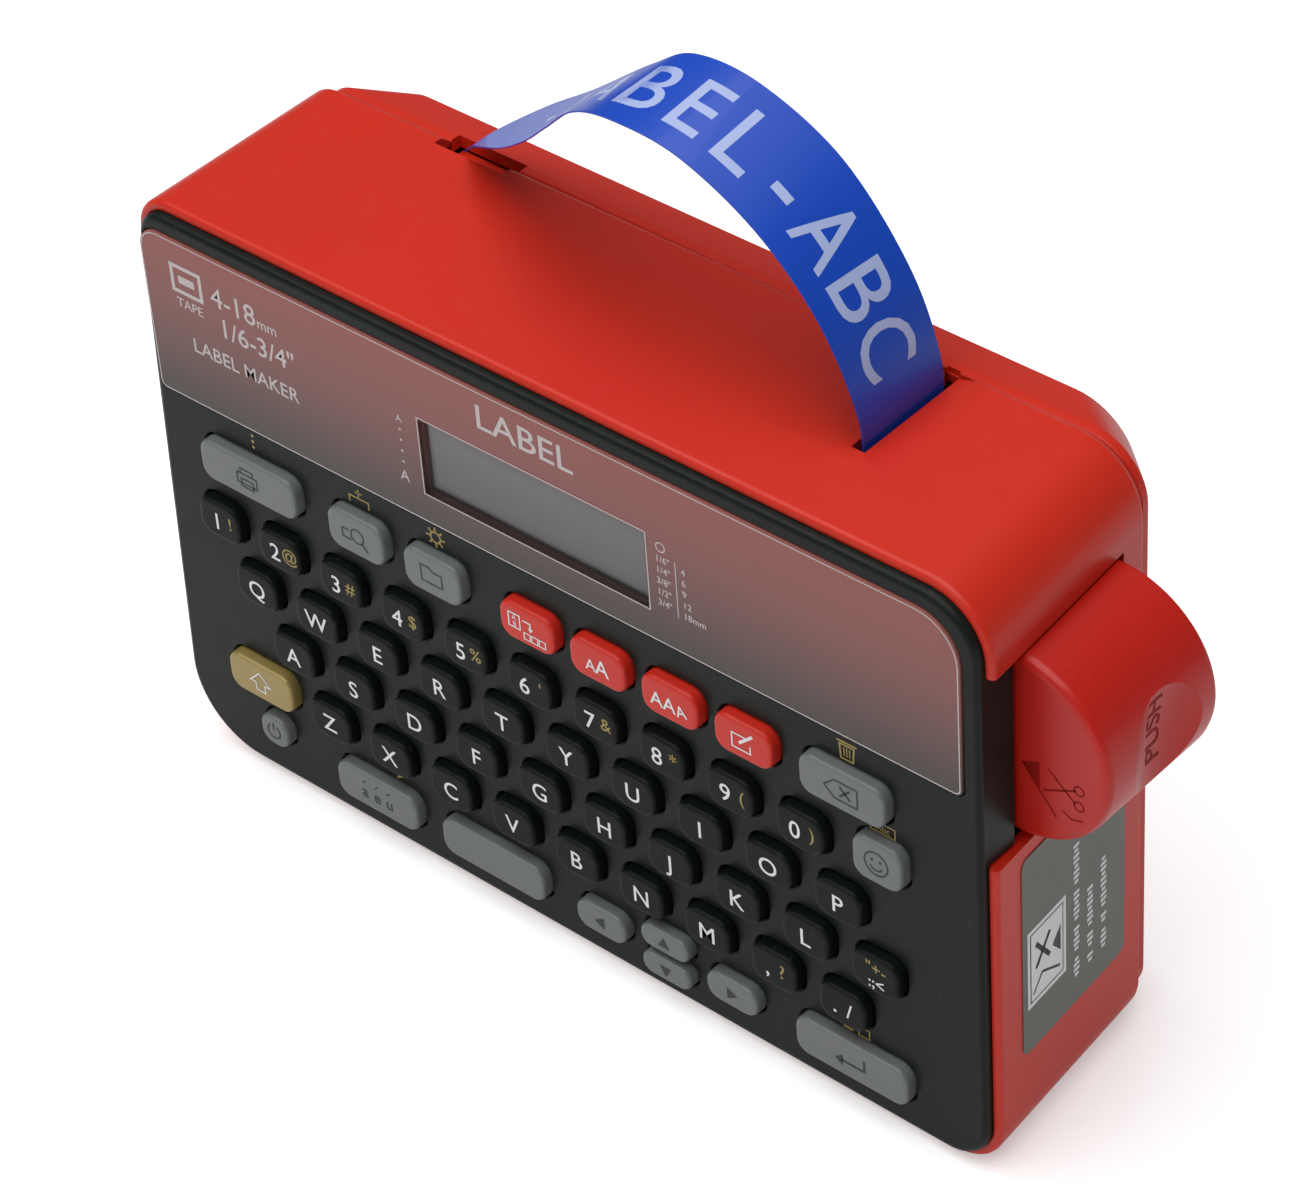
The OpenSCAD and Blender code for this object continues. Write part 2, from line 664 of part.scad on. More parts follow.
// side 0 is the front edge and side 1 the rear edge
function label_point(side, u) =
    let (i = min(floor(u), LAST_STATION - 1), s = LABEL_STATIONS)
    [slot_x, tape_y + side * tape_w, body_h]
    + spline(s[max(i - 1, 0)][side], s[i][side], s[i + 1][side], s[min(i + 2, LAST_STATION)][side], u - i);
function label_edge(side) = [for (i = [0:LABEL_STEPS]) label_point(side, i * LAST_STATION / LABEL_STEPS)];

module label_tape() color(BLUE) in_frame() {
    front = label_edge(0);
    rear = label_edge(1);
    middle = (front + rear) / 2;
    rings = [for (i = [0:LABEL_STEPS])
        let (n = unit(cross(heading(middle, i), rear[i] - front[i])) * tape_t / 2)
        for (q = [front[i] - n, rear[i] - n, rear[i] + n, front[i] + n]) q];
    last = LABEL_STEPS * 4;
    walls = [for (i = [0:LABEL_STEPS - 1]) for (k = [0:3]) for (half = [0, 1])
        let (n = (k + 1) % 4, j = i * 4)
        half == 0 ? [j + k, j + 4 + n, j + n] : [j + k, j + 4 + k, j + 4 + n]];
    first_cap = [[0, 1, 2], [0, 2, 3]];
    last_cap = [[last + 2, last + 1, last], [last + 3, last + 2, last]];
    polyhedron(rings, concat(first_cap, walls, last_cap));
}

// ---------- cutter ----------

module lever_profile(inset = 0) intersection() {
    translate([lever_cx, lever_cz]) circle(lever_r - inset, $fn = 96);
    translate([body_w - 3.4, 0]) square([60, body_h]);
}

module cutter_lever() color(RED) in_frame() difference() {
    union() {
        difference() {
            slab(lever_y, lever_y + lever_len) lever_profile();
            slab(lever_y + lever_wall, lever_y + lever_len - lever_wall) lever_profile(lever_wall);
            translate([body_w - 6, lever_y + lever_wall, 0])
                cube([4.6, lever_len - 2 * lever_wall, body_h]);
        }
        // hub on the pin, with webs to the two end walls
        for (y = [lever_y + 7.2, lever_y + lever_len - lever_wall]) {
            slab(y, y + lever_wall) lever_profile();
            rod(pin_x, pin_z, y, y + lever_wall, 3.2);
            translate([pin_x, y, pin_z - 3.2]) cube([body_w - pin_x, lever_wall, 6.4]);
        }
        // crank arm and its stud
        translate([pin_x - 1.2, crank_y, pin_z]) cube([2.4, lever_wall, crank_r]);
        rod(pin_x, cut_z, crank_y, crank_y + lever_wall, stud_r);
    }
    rod(pin_x, pin_z, 0, body_d, lever_pin_r + run_gap);
    // shallow thumb recess
    translate([lever_cx, lever_y + lever_len * 0.6, lever_cz]) rotate([0, 14, 0])
        translate([lever_r + thumb_r - 0.8, 0, 0]) sphere(thumb_r, $fn = 64);
}

module lever_pin() color(STEEL) in_frame() rod(pin_x, pin_z, bay_y, lever_y + lever_len + 4, lever_pin_r);

module lever_spring() color(STEEL) in_frame() {
    turns = 4;
    steps = 20;
    y0 = lever_y + 11.4;
    tube([for (k = [0:turns * steps])
        [pin_x + 2.6 * cos(k * 360 / steps), y0 + k * 0.9 / steps, pin_z + 2.6 * sin(k * 360 / steps)]],
        0.3, [0, 1, 0], 6);
}

// a ring around the tape, pulled to the right by the lever's crank stud
module cutter_carriage() color([0.25, 0.26, 0.28]) in_frame() {
    fork = stud_r + fit_gap;
    fork_w = lever_wall + 1.2;
    difference() {
        translate([frame_x, front_bar_y, frame_z])
            cube([frame_end - frame_x, rear_bar_y + bar_t - front_bar_y, frame_t]);
        translate([slot_x - 2.4, front_bar_y + bar_t, frame_z - 1])
            cube([frame_end - 4 - slot_x + 2.4, rear_bar_y - front_bar_y - bar_t, frame_t + 2]);
    }
    // bridge over the stud with two prongs that hang down beside it
    bridge_z = cut_z + stud_r + 0.3;
    translate([frame_end - 4, crank_y - 0.6, frame_z]) cube([3, fork_w, bridge_z + bridge_t - frame_z]);
    difference() {
        translate([frame_end - 4, crank_y - 0.6, bridge_z])
            cube([pin_x + fork + prong_t - frame_end + 4, fork_w, bridge_t]);
        // the corner is cut off to pass the round corner of the housing
        translate([pin_x + fork + prong_t, crank_y - 1, bridge_z + bridge_t])
            rotate([0, 45, 0]) translate([-0.6, 0, -0.6]) cube([1.2, fork_w + 1, 1.2]);
    }
    for (x = [pin_x - fork - prong_t, pin_x + fork])
        translate([x, crank_y - 0.6, cut_z - 1.8]) cube([prong_t, fork_w, 1.8 + stud_r + 0.4]);
}

module cutter_blade() color(STEEL) in_frame()
    translate([0, front_bar_y + 1, cut_z - blade_t / 2]) rotate([-90, 0, 0])
        linear_extrude(rear_bar_y - front_bar_y) polygon([
            [frame_x + 0.4, 0], [slot_x - 1.7, 0], [slot_x - 0.8, -blade_t], [frame_x + 0.4, -blade_t]
        ]);

module cutter_anvil() color(STEEL) in_frame() {
    anvil_z = cut_z + blade_t / 2 + run_gap;
    anvil_w = rear_bar_y - front_bar_y - bar_t - 1.6;
    anvil_y = front_bar_y + bar_t + 0.8;
    translate([slot_x + 0.9, anvil_y, anvil_z]) cube([anvil_x + 1.4 - slot_x - 0.9, anvil_w, 1.4]);
    translate([anvil_x, anvil_y, rail_z + rail_t]) cube([1.4, anvil_w, anvil_z + e - rail_z - rail_t]);
}

// ---------- keys ----------

function key_r(h) = min(2.4, h / 2 - 0.2);

function letter_row(row, count, shift) =
    [for (k = [0:count - 1]) [grid_x + (k + shift) * key_pitch, grid_z + row * row_pitch]];
function row_digits() = letter_row(1, 10, -0.5);
function row_upper() = letter_row(0, 10, 0);
function row_middle() = letter_row(-1, 10, 0.5);
function row_lower() = letter_row(-2, 9, 1);
function letter_keys() = concat(row_digits(), row_upper(), row_middle(), row_lower());

// name, centre x, centre z, width, height and colour of every other key
CAPS = [
    ["key_print", grid_x + 1.5, fn_z, 20.4, 7.6, GREY],
    ["key_preview", grid_x + 24.4, fn_z, 11.6, 7.6, GREY],
    ["key_file", grid_x + 40.2, fn_z, 11.6, 7.6, GREY],
    ["key_frame", grid_x + 59.2, fn_z - 0.3, 10.8, 7, KEY_RED],
    ["key_size", grid_x + 73, fn_z - 0.3, 10.8, 7, KEY_RED],
    ["key_style", grid_x + 86.8, fn_z - 0.3, 10.8, 7, KEY_RED],
    ["key_edit", grid_x + 100.6, fn_z - 0.3, 10.8, 7, KEY_RED],
    ["key_delete", grid_x + 118.6, fn_z, 15.6, 7.4, GREY],
    ["key_symbol", grid_x + 124.6, grid_z + 12, 9, 8, GREY],
    ["key_shift", grid_x - 2.4, low_z + 10.6, 14, 7.4, GOLD],
    ["key_power", grid_x - 0.8, low_z + 1.2, 6, 6, GREY],
    ["key_accent", grid_x + 21.8, low_z - 0.4, 17.4, 7.2, GREY],
    ["key_space", grid_x + 46.6, low_z - 0.2, 21.4, 7.2, GREY],
    ["key_left", grid_x + 69, low_z - 0.4, 10, 5.6, GREY],
    ["key_up", grid_x + 82, low_z + 2.7, 9.6, 4.4, GREY],
    ["key_down", grid_x + 82, low_z - 3, 9.6, 4.4, GREY],
    ["key_right", grid_x + 95.2, low_z, 10, 5.6, GREY],
    ["key_enter", grid_x + 118.2, low_z, 21.2, 7.4, GREY]
];

// one key cap: a rounded block with a softened top edge and a flange behind the face
module key_cap(x, z, w, h) in_frame() translate([x, 0, z]) {
    slab(-key_rise, -key_rise + 0.4) round_rect(w - 0.7, h - 0.7, key_r(h) - 0.35);
    slab(-key_rise + 0.4 - e, key_back_y) round_rect(w, h, key_r(h));
    slab(key_back_y - 0.8, key_back_y) round_rect(w + 2 * key_flange, h + 2 * key_flange, key_r(h) + 0.5);
}

module cap(name) for (k = CAPS) if (k[0] == name) color(k[5]) key_cap(k[1], k[2], k[3], k[4]);
module letter_caps(keys) color(BLACK) for (k = keys) key_cap(k[0], k[1], key_w, key_h);

module keys_digits() letter_caps(row_digits());
module keys_upper() letter_caps(row_upper());
module keys_middle() letter_caps(row_middle());
module keys_lower() letter_caps(row_lower());

front_shell();
rear_cover();
face_panel();
lens();
display();
keypad_mat();
main_board();
chassis();
case_screws();
side_label();
batteries();
battery_contacts();
motor();
motor_pinion();
large_idler();
transfer_gear();
platen_roller();
ribbon_spindle();
print_head();
tape_cassette();
tape_roll();
ribbon_supply();
tape_web();
label_tape();
cutter_lever();
lever_pin();
lever_spring();
cutter_carriage();
cutter_blade();
cutter_anvil();
keys_digits();
keys_upper();
keys_middle();
keys_lower();
cap("key_print");  // key_print
cap("key_preview");  // key_preview
cap("key_file");  // key_file
cap("key_frame");  // key_frame
cap("key_size");  // key_size
cap("key_style");  // key_style
cap("key_edit");  // key_edit
cap("key_delete");  // key_delete
cap("key_symbol");  // key_symbol
cap("key_shift");  // key_shift
cap("key_power");  // key_power
cap("key_accent");  // key_accent
cap("key_space");  // key_space
cap("key_left");  // key_left
cap("key_up");  // key_up
cap("key_down");  // key_down
cap("key_right");  // key_right
cap("key_enter");  // key_enter
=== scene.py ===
"""Looks of a handheld label maker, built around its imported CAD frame.

Shapes are written in millimetres from the lower left front corner of the body:
x to the right, y back from the face, z up. put() sets them in the frame, in metres.
"""
import math

import bmesh
import bpy
import numpy as np
from mathutils import Matrix, Vector
from mathutils.bvhtree import BVHTree


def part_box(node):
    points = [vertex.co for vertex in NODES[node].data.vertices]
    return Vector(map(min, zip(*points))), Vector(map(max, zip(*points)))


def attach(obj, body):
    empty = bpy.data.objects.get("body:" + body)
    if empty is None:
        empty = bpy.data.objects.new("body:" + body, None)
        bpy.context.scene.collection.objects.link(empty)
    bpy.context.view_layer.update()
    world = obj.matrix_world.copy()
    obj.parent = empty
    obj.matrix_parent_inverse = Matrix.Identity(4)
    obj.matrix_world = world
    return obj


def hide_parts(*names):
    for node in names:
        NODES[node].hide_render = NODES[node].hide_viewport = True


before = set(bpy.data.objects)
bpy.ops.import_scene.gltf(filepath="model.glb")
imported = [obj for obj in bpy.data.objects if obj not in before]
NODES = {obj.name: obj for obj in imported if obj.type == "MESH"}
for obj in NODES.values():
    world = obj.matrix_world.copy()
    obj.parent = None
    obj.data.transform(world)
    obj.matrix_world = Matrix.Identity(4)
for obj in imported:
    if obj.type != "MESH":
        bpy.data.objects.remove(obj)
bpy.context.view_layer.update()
MM = 0.001

# ---------- sizes read from the frame ----------

shell_lo, shell_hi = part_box("front_shell")
ORIGIN = Vector((shell_lo.x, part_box("face_panel")[0].y, shell_lo.z))


def span(node):
    """Lowest and highest corner of a CAD node, in millimetres from the body's corner."""
    lo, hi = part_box(node)
    return (lo - ORIGIN) / MM, (hi - ORIGIN) / MM


def put(points):
    """Points in millimetres set in the frame."""
    return np.asarray(points, float) * MM + np.array(ORIGIN)


BODY_W, BODY_H = span("front_shell")[1].x, span("front_shell")[1].z
RIM_Y, SEAM_Y = span("front_shell")[0].y, span("front_shell")[1].y
COVER_Y, BACK_Y = SEAM_Y + 0.3, span("rear_cover")[1].y
LEAN, WALL = 3.4, 2.2
DRAFT = BODY_W - 1.5 - span("rear_cover")[1].x  # how far the right side has come in at the seam
CORNERS = (7.0, 11.0, 9.0, 15.0)  # radii: top left, top right, bottom right, bottom left
FACE_INSET = 1.6
KEY_TOP = span("key_space")[0].y + 0.03  # leaves room for the printing
KEY_BACK = span("key_space")[1].y
FLANGE = 0.5
LENS_LO, LENS_HI = span("lens")
LCD_LO, LCD_HI = span("display")
LCD_X, LCD_Z = (LCD_LO.x + LCD_HI.x) / 2, (LCD_LO.z + LCD_HI.z) / 2
LCD_W, LCD_H = LCD_HI.x - LCD_LO.x - 10, LCD_HI.z - LCD_LO.z - 8
LEVER_LO, LEVER_HI = span("cutter_lever")
LEVER_R = 16.2
LEVER_X, LEVER_Z = LEVER_HI.x - LEVER_R, 78.3
LEVER_TOP = BODY_H - 13
WINDOW_Z = 60.2
PIN_X, PIN_Z = BODY_W - 12, LEVER_TOP - 7.6
SLOT_X, TAPE_Y, TAPE_W = 128.5, span("label_tape")[0].y, 18.0
STICKER_LO, STICKER_HI = span("side_label")


# ---------- camera, lights and floor ----------

camera_data = bpy.data.cameras.new("camera")
camera_data.lens, camera_data.sensor_width, camera_data.sensor_fit = 130.455, 36, "HORIZONTAL"
camera = bpy.data.objects.new("camera", camera_data)
turn = (Matrix.Rotation(math.radians(43.915), 4, "Z") @ Matrix.Rotation(math.radians(50.41), 4, "X")
        @ Matrix.Rotation(math.radians(-4.434), 4, "Z"))
camera.matrix_world = Matrix.Translation((0.37093, -0.39362, 0.50410)) @ turn
bpy.context.scene.collection.objects.link(camera)
bpy.context.scene.camera = camera
bpy.context.scene.view_settings.view_transform = "Standard"

world = bpy.data.worlds.new("studio")
bpy.context.scene.world = world
world.use_nodes = True
world.node_tree.nodes["Background"].inputs["Color"].default_value = (0.93, 0.96, 1.0, 1)
world.node_tree.nodes["Background"].inputs["Strength"].default_value = 0.16


def soft_box(name, place, aim, size, power, tint=(1, 1, 1)):
    """A large soft light that points at aim."""
    data = bpy.data.lights.new(name, "AREA")
    data.shape, data.size, data.size_y = "RECTANGLE", size[0], size[1]
    data.energy, data.color = power, tint
    lamp = bpy.data.objects.new(name, data)
    way = Vector(aim) - Vector(place)
    lamp.matrix_world = Matrix.Translation(place) @ way.to_track_quat("-Z", "Y").to_matrix().to_4x4()
    bpy.context.scene.collection.objects.link(lamp)


soft_box("top_light", (-0.1, -0.25, 1.3), (0, 0, 0.06), (1.7, 1.7), 23)
soft_box("front_light", (-0.2, -1.6, 0.8), (0, 0, 0.05), (1.0, 1.0), 1.6)


# ---------- meshes ----------

def outline(y, inset=0.0, sides=0.0, ends=0.0, steps=14):
    """The body's outline at depth y: four unequal round corners joined by straight sides."""
    tl, tr, br, bl = CORNERS
    right = BODY_W - DRAFT * min(1.0, (y - RIM_Y) / (SEAM_Y - RIM_Y)) - sides
    rounds = [((right - br, br + ends), br - inset), ((right - tr, BODY_H - tr - ends), tr - inset),
              ((LEAN + tl + sides, BODY_H - tl - ends), tl - inset),
              ((bl + sides, bl + ends), bl - inset)]

    def bearing(k):
        (ax, az), ar = rounds[k % 4]
        (bx, bz), br_ = rounds[(k + 1) % 4]
        return math.atan2(bz - az, bx - ax) - math.acos((ar - br_) / math.hypot(bx - ax, bz - az))

    points = []
    for k in range(4):
        (cx, cz), r = rounds[k]
        start, end = bearing(k - 1), bearing(k)
        while end < start:
            end += math.tau
        while end - start > math.pi * 1.2:
            start += math.tau
        points += [(cx + r * math.cos(a), y, cz + r * math.sin(a))
                   for a in np.linspace(start, end, steps)]
    return points


def round_rect(x, z, w, h, r, y, steps=7):
    """A rounded rectangle at depth y, counter-clockwise as seen from the front."""
    r = max(min(r, w / 2 - 0.01, h / 2 - 0.01), 0.01)
    points = []
    for k, (sx, sz) in enumerate(((1, -1), (1, 1), (-1, 1), (-1, -1))):
        for a in np.linspace(-90 + 90 * k, 90 * k, steps):
            t = math.radians(a)
            points.append((x + sx * (w / 2 - r) + r * math.cos(t), y,
                           z + sz * (h / 2 - r) + r * math.sin(t)))
    return points


def loft(rings, closed=False):
    """Points and faces of a skin through equal rings, closed on itself or by a cap at each end."""
    n, m = len(rings[0]), len(rings)
    faces = []
    for i in range(m if closed else m - 1):
        a, b = i * n, (i + 1) % m * n
        faces += [(a + k, a + (k + 1) % n, b + (k + 1) % n, b + k) for k in range(n)]
    if not closed:
        faces += [tuple(range(n)), tuple(range((m - 1) * n, m * n))]
    return [p for ring in rings for p in ring], faces


def join(*parts):
    """Several sets of points and faces as one."""
    points, faces = [], []
    for part_points, part_faces in parts:
        start = len(points)
        points += list(part_points)
        faces += [tuple(i + start for i in f) for f in part_faces]
    return points, faces


def block(x0, x1, y0, y1, z0, z1):
    return loft([[(x0, y, z0), (x1, y, z0), (x1, y, z1), (x0, y, z1)] for y in (y0, y1)])


def rod(x, z, y0, y1, r, ease=0.0, steps=32):
    """A round bar along y with eased ends."""
    ring = lambda y, q: [(x + q * math.cos(a), y, z + q * math.sin(a))
                         for a in np.linspace(0, math.tau, steps, endpoint=False)]
    if not ease:
        return loft([ring(y0, r), ring(y1, r)])
    return loft([ring(y0, r - ease), ring(y0 + ease, r), ring(y1 - ease, r), ring(y1, r - ease)])


def solid(name, part, outward=True):
    """An object from points and faces in millimetres."""
    mesh = bpy.data.meshes.new(name)
    mesh.from_pydata([tuple(p) for p in put(part[0])], [], part[1])
    if outward:
        work = bmesh.new()
        work.from_mesh(mesh)
        bmesh.ops.recalc_face_normals(work, faces=work.faces)
        work.to_mesh(mesh)
        work.free()
    thing = bpy.data.objects.new(name, mesh)
    bpy.context.scene.collection.objects.link(thing)
    return thing


def bake(thing):
    """The modifiers become part of the mesh."""
    graph = bpy.context.evaluated_depsgraph_get()
    mesh = bpy.data.meshes.new_from_object(thing.evaluated_get(graph))
    thing.modifiers.clear()
    thing.data = mesh
    return thing


def carve(thing, part, operation="DIFFERENCE"):
    """Cuts a shape away, or adds it."""
    tool = solid("tool", part)
    change = thing.modifiers.new("carve", "BOOLEAN")
    change.operation, change.solver, change.object = operation, "EXACT", tool
    bake(thing)
    bpy.data.objects.remove(tool)
    return thing


def ease_edges(thing, width, angle=40, segments=2):
    """Rounds the sharp edges a little."""
    change = thing.modifiers.new("ease", "BEVEL")
    change.width, change.segments, change.limit_method = width * MM, segments, "ANGLE"
    change.angle_limit = math.radians(angle)
    change.use_clamp_overlap = True
    return bake(thing)


def dress(thing, finish, body, stands_for=(), angle=32, flat=False):
    """Gives a piece its finish, smooth faces, and the body that it rides on."""
    mesh = thing.data
    paint = [0] * len(mesh.polygons)
    if len(mesh.materials) == 0:
        mesh.polygons.foreach_get("material_index", paint)
    mesh.materials.clear()
    for one in finish if isinstance(finish, (list, tuple)) else [finish]:
        mesh.materials.append(one)
    mesh.polygons.foreach_set("material_index", paint)
    if flat:
        mesh.shade_flat()
    else:
        mesh.shade_smooth()
        mesh.set_sharp_from_angle(angle=math.radians(angle))
        change = thing.modifiers.new("normals", "WEIGHTED_NORMAL")
        change.keep_sharp = True
        bake(thing)
    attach(thing, body)
    if stands_for:
        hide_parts(*stands_for)
    return thing


# ---------- finishes ----------

def group(name, inputs, outputs):
    """A shader node group with named sockets."""
    tree = bpy.data.node_groups.new(name, "ShaderNodeTree")
    for side, table in (("INPUT", inputs), ("OUTPUT", outputs)):
        for label, kind, *start in table:
            socket = tree.interface.new_socket(name=label, in_out=side, socket_type="NodeSocket" + kind)
            if start:
                socket.default_value = start[0]
    return tree, tree.nodes.new("NodeGroupInput"), tree.nodes.new("NodeGroupOutput")


def node(tree, kind, **settings):
    """A node with its properties and inputs set; a tuple (node, socket) is linked."""
    made = tree.nodes.new("ShaderNode" + kind)
    for key, value in settings.items():
        if hasattr(made, key) and not key[0].isupper():
            setattr(made, key, value)
    for key, value in settings.items():
        if key[0].isupper() or key[0] == "_":
            name = key.strip("_").replace("_", " ")
            socket = made.inputs[int(name) if name.isdigit() else name]
            if isinstance(value, tuple) and value and isinstance(value[0], bpy.types.Node):
                tree.links.new(value[0].outputs[value[1]], socket)
            else:
                socket.default_value = value
    return made


def math_node(tree, operation, a, b=0.0, clamp=False):
    return node(tree, "Math", operation=operation, use_clamp=clamp, _0=a, _1=b)


def blend_node(tree, mask, a, b, mode="MIX"):
    made = tree.nodes.new("ShaderNodeMix")
    made.data_type, made.blend_type = "RGBA", mode
    for socket, value in ((made.inputs[0], mask), (made.inputs[6], a), (made.inputs[7], b)):
        if isinstance(value, tuple) and isinstance(value[0], bpy.types.Node):
            tree.links.new(value[0].outputs[value[1]], socket)
        else:
            socket.default_value = value
    return made


def moulded_group():
    """Moulded plastic or rubber: fine spark-eroded grain, slow shade and gloss changes, a little dust."""
    tree, start, end = group("moulded_surface", [
        ("Colour", "Color", (0.5, 0.5, 0.5, 1)), ("Roughness", "Float", 0.4),
        ("Grain Scale", "Float", 2600.0),
        ("Shade Change", "Float", 0.1), ("Gloss Change", "Float", 0.1), ("Dust", "Float", 0.02),
    ], [("Colour", "Color"), ("Roughness", "Float"), ("Height", "Float")])
    where = node(tree, "TexCoord")
    slow = node(tree, "TexNoise", Vector=(where, "Object"), Scale=38.0, Detail=4.0)
    smear = node(tree, "TexNoise", Vector=(where, "Object"), Scale=160.0, Detail=6.0, Distortion=0.6)
    grain = node(tree, "TexNoise", Vector=(where, "Object"), Scale=(start, "Grain Scale"), Detail=3.0)
    pits = node(tree, "TexVoronoi", Vector=(where, "Object"), Scale=(start, "Grain Scale"))
    specks = node(tree, "TexNoise", Vector=(where, "Object"), Scale=900.0, Detail=2.0)
    dark = math_node(tree, "SUBTRACT", (slow, "Fac"), 0.5)
    dark = math_node(tree, "MULTIPLY", (dark, 0), (start, "Shade Change"))
    dark = math_node(tree, "ADD", (dark, 0), 1.0)
    shade = node(tree, "CombineColor", Red=(dark, 0), Green=(dark, 0), Blue=(dark, 0))
    tinted = blend_node(tree, 1.0, (start, "Colour"), (shade, "Color"), "MULTIPLY")
    speck = node(tree, "MapRange", Value=(specks, "Fac"), From_Min=0.66, From_Max=0.78)
    speck = math_node(tree, "MULTIPLY", (speck, "Result"), (start, "Dust"))
    dusty = blend_node(tree, (speck, 0), (tinted, 2), (0.6, 0.58, 0.55, 1))
    tree.links.new(dusty.outputs[2], end.inputs["Colour"])
    gloss = math_node(tree, "SUBTRACT", (smear, "Fac"), 0.5)
    gloss = math_node(tree, "MULTIPLY", (gloss, 0), (start, "Gloss Change"))
    gloss = math_node(tree, "ADD", (gloss, 0), (start, "Roughness"))
    tree.links.new(gloss.outputs[0], end.inputs["Roughness"])
    height = math_node(tree, "MULTIPLY", (pits, "Distance"), 0.6)
    height = math_node(tree, "ADD", (height, 0), (grain, "Fac"))
    tree.links.new(height.outputs[0], end.inputs["Height"])
    return tree


def metal_group():
    """Drawn or brushed metal: streaks along x, stains and a slow tint change."""
    tree, start, end = group("worked_metal", [
        ("Colour", "Color", (0.6, 0.6, 0.6, 1)), ("Roughness", "Float", 0.3), ("Streak", "Float", 0.2),
        ("Stain", "Float", 0.15),
    ], [("Colour", "Color"), ("Roughness", "Float"), ("Height", "Float")])
    where = node(tree, "TexCoord")
    stretch = node(tree, "Mapping", Vector=(where, "Object"), Scale=(40.0, 1400.0, 1400.0))
    lines = node(tree, "TexNoise", Vector=(stretch, "Vector"), Scale=1.0, Detail=4.0)
    spots = node(tree, "TexNoise", Vector=(where, "Object"), Scale=220.0, Detail=5.0)
    stain = node(tree, "MapRange", Value=(spots, "Fac"), From_Min=0.5, From_Max=0.75)
    stain = math_node(tree, "MULTIPLY", (stain, "Result"), (start, "Stain"))
    dull = blend_node(tree, (stain, 0), (start, "Colour"), (0.16, 0.13, 0.1, 1))
    tree.links.new(dull.outputs[2], end.inputs["Colour"])
    rough = math_node(tree, "MULTIPLY", (lines, "Fac"), (start, "Streak"))
    rough = math_node(tree, "ADD", (rough, 0), (start, "Roughness"))
    tree.links.new(rough.outputs[0], end.inputs["Roughness"])
    tree.links.new(lines.outputs["Fac"], end.inputs["Height"])
    return tree


MOULDED, METAL = moulded_group(), metal_group()


def finish_of(name, surface, values, bump, **shader):
    """A material: a surface group that feeds a Principled shader and its bump."""
    material = bpy.data.materials.new(name)
    material.use_nodes = True
    tree = material.node_tree
    shade = tree.nodes["Principled BSDF"]
    used = tree.nodes.new("ShaderNodeGroup")
    used.node_tree = surface
    for key, value in values.items():
        used.inputs[key].default_value = value
    tree.links.new(used.outputs["Colour"], shade.inputs["Base Color"])
    tree.links.new(used.outputs["Roughness"], shade.inputs["Roughness"])
    if bump:
        lift = node(tree, "Bump", Strength=bump, Distance=0.00004, Height=(used, "Height"))
        tree.links.new(lift.outputs["Normal"], shade.inputs["Normal"])
    for key, value in shader.items():
        shade.inputs[key.replace("_", " ")].default_value = value
    return material


def moulded(name, colour, rough, bump=0.12, grain=2600.0, change=0.12, gloss=0.1, dust=0.02, **shader):
    return finish_of(name, MOULDED, {
        "Colour": (*colour, 1), "Roughness": rough, "Grain Scale": grain, "Shade Change": change,
        "Gloss Change": gloss, "Dust": dust}, bump, **shader)


def metal(name, colour, rough, streak=0.2, stain=0.15, bump=0.1):
    return finish_of(name, METAL, {"Colour": (*colour, 1), "Roughness": rough, "Streak": streak,
                                   "Stain": stain}, bump, Metallic=1.0)


def part_of(material):
    """The tree, the surface group and the shader of a finish."""
    tree = material.node_tree
    return tree, next(n for n in tree.nodes if n.type == "GROUP"), tree.nodes["Principled BSDF"]


RED = moulded("red_shell", (0.585, 0.024, 0.009), 0.36, bump=0.10, change=0.08, gloss=0.10, dust=0.02,
              Specular_IOR_Level=0.3)
LEVER_RED = moulded("lever_red", (0.50, 0.013, 0.007), 0.32, bump=0.08, change=0.08, gloss=0.10,
                    Specular_IOR_Level=0.35)
# Pressed marks on the lever: rougher, and a darker red that is painted shade for their recesses.
PRESSED_MARK_SHADE_RED = moulded("pressed_mark_painted_shade_red", (0.24, 0.004, 0.003), 0.5, bump=0.08, Specular_IOR_Level=0.12)
BLACK = moulded("black_face", (0.0085, 0.0115, 0.0098), 0.34, bump=0.14, grain=2000.0, change=0.3,
                gloss=0.14, dust=0.02,
                Specular_IOR_Level=0.13)
KEY_BLACK = moulded("black_key", (0.0055, 0.008, 0.007), 0.36, bump=0.15, grain=2400.0, change=0.3,
                    dust=0.03,
                    Specular_IOR_Level=0.10)
KEY_GREY = moulded("grey_key", (0.150, 0.163, 0.158), 0.38, bump=0.18, grain=2400.0, change=0.1)
KEY_RED = moulded("red_key", (0.62, 0.026, 0.014), 0.34, bump=0.10, grain=2400.0, change=0.1,
                 Specular_IOR_Level=0.3)
KEY_GOLD = moulded("gold_key", (0.36, 0.26, 0.085), 0.34, bump=0.18, grain=2400.0, change=0.15,
                   Metallic=0.25)
DARK = moulded("dark_plastic", (0.028, 0.031, 0.034), 0.46, bump=0.3, grain=1500.0, change=0.25)
IVORY = moulded("ivory_cassette", (0.72, 0.67, 0.55), 0.42, bump=0.2, change=0.12)
WHITE_GEAR = moulded("white_gear", (0.82, 0.82, 0.79), 0.35, bump=0.1, change=0.06)
BLACK_RUBBER = moulded("black_rubber", (0.02, 0.02, 0.021), 0.72, bump=0.5, grain=1400.0, dust=0.12)
GREY_RUBBER = moulded("grey_rubber", (0.12, 0.125, 0.13), 0.68, bump=0.4, grain=1400.0, dust=0.1)
WHITE_INK = moulded("white_ink", (0.78, 0.79, 0.79), 0.5, bump=0.05, change=0.05)
GOLD_INK = moulded("gold_ink", (0.34, 0.24, 0.055), 0.45, bump=0.05, change=0.1)
DARK_INK = moulded("dark_ink", (0.02, 0.024, 0.024), 0.5, bump=0.05, change=0.1)
PALE_INK = moulded("pale_blue_ink", (0.38, 0.46, 0.74), 0.4, bump=0.05, change=0.1)
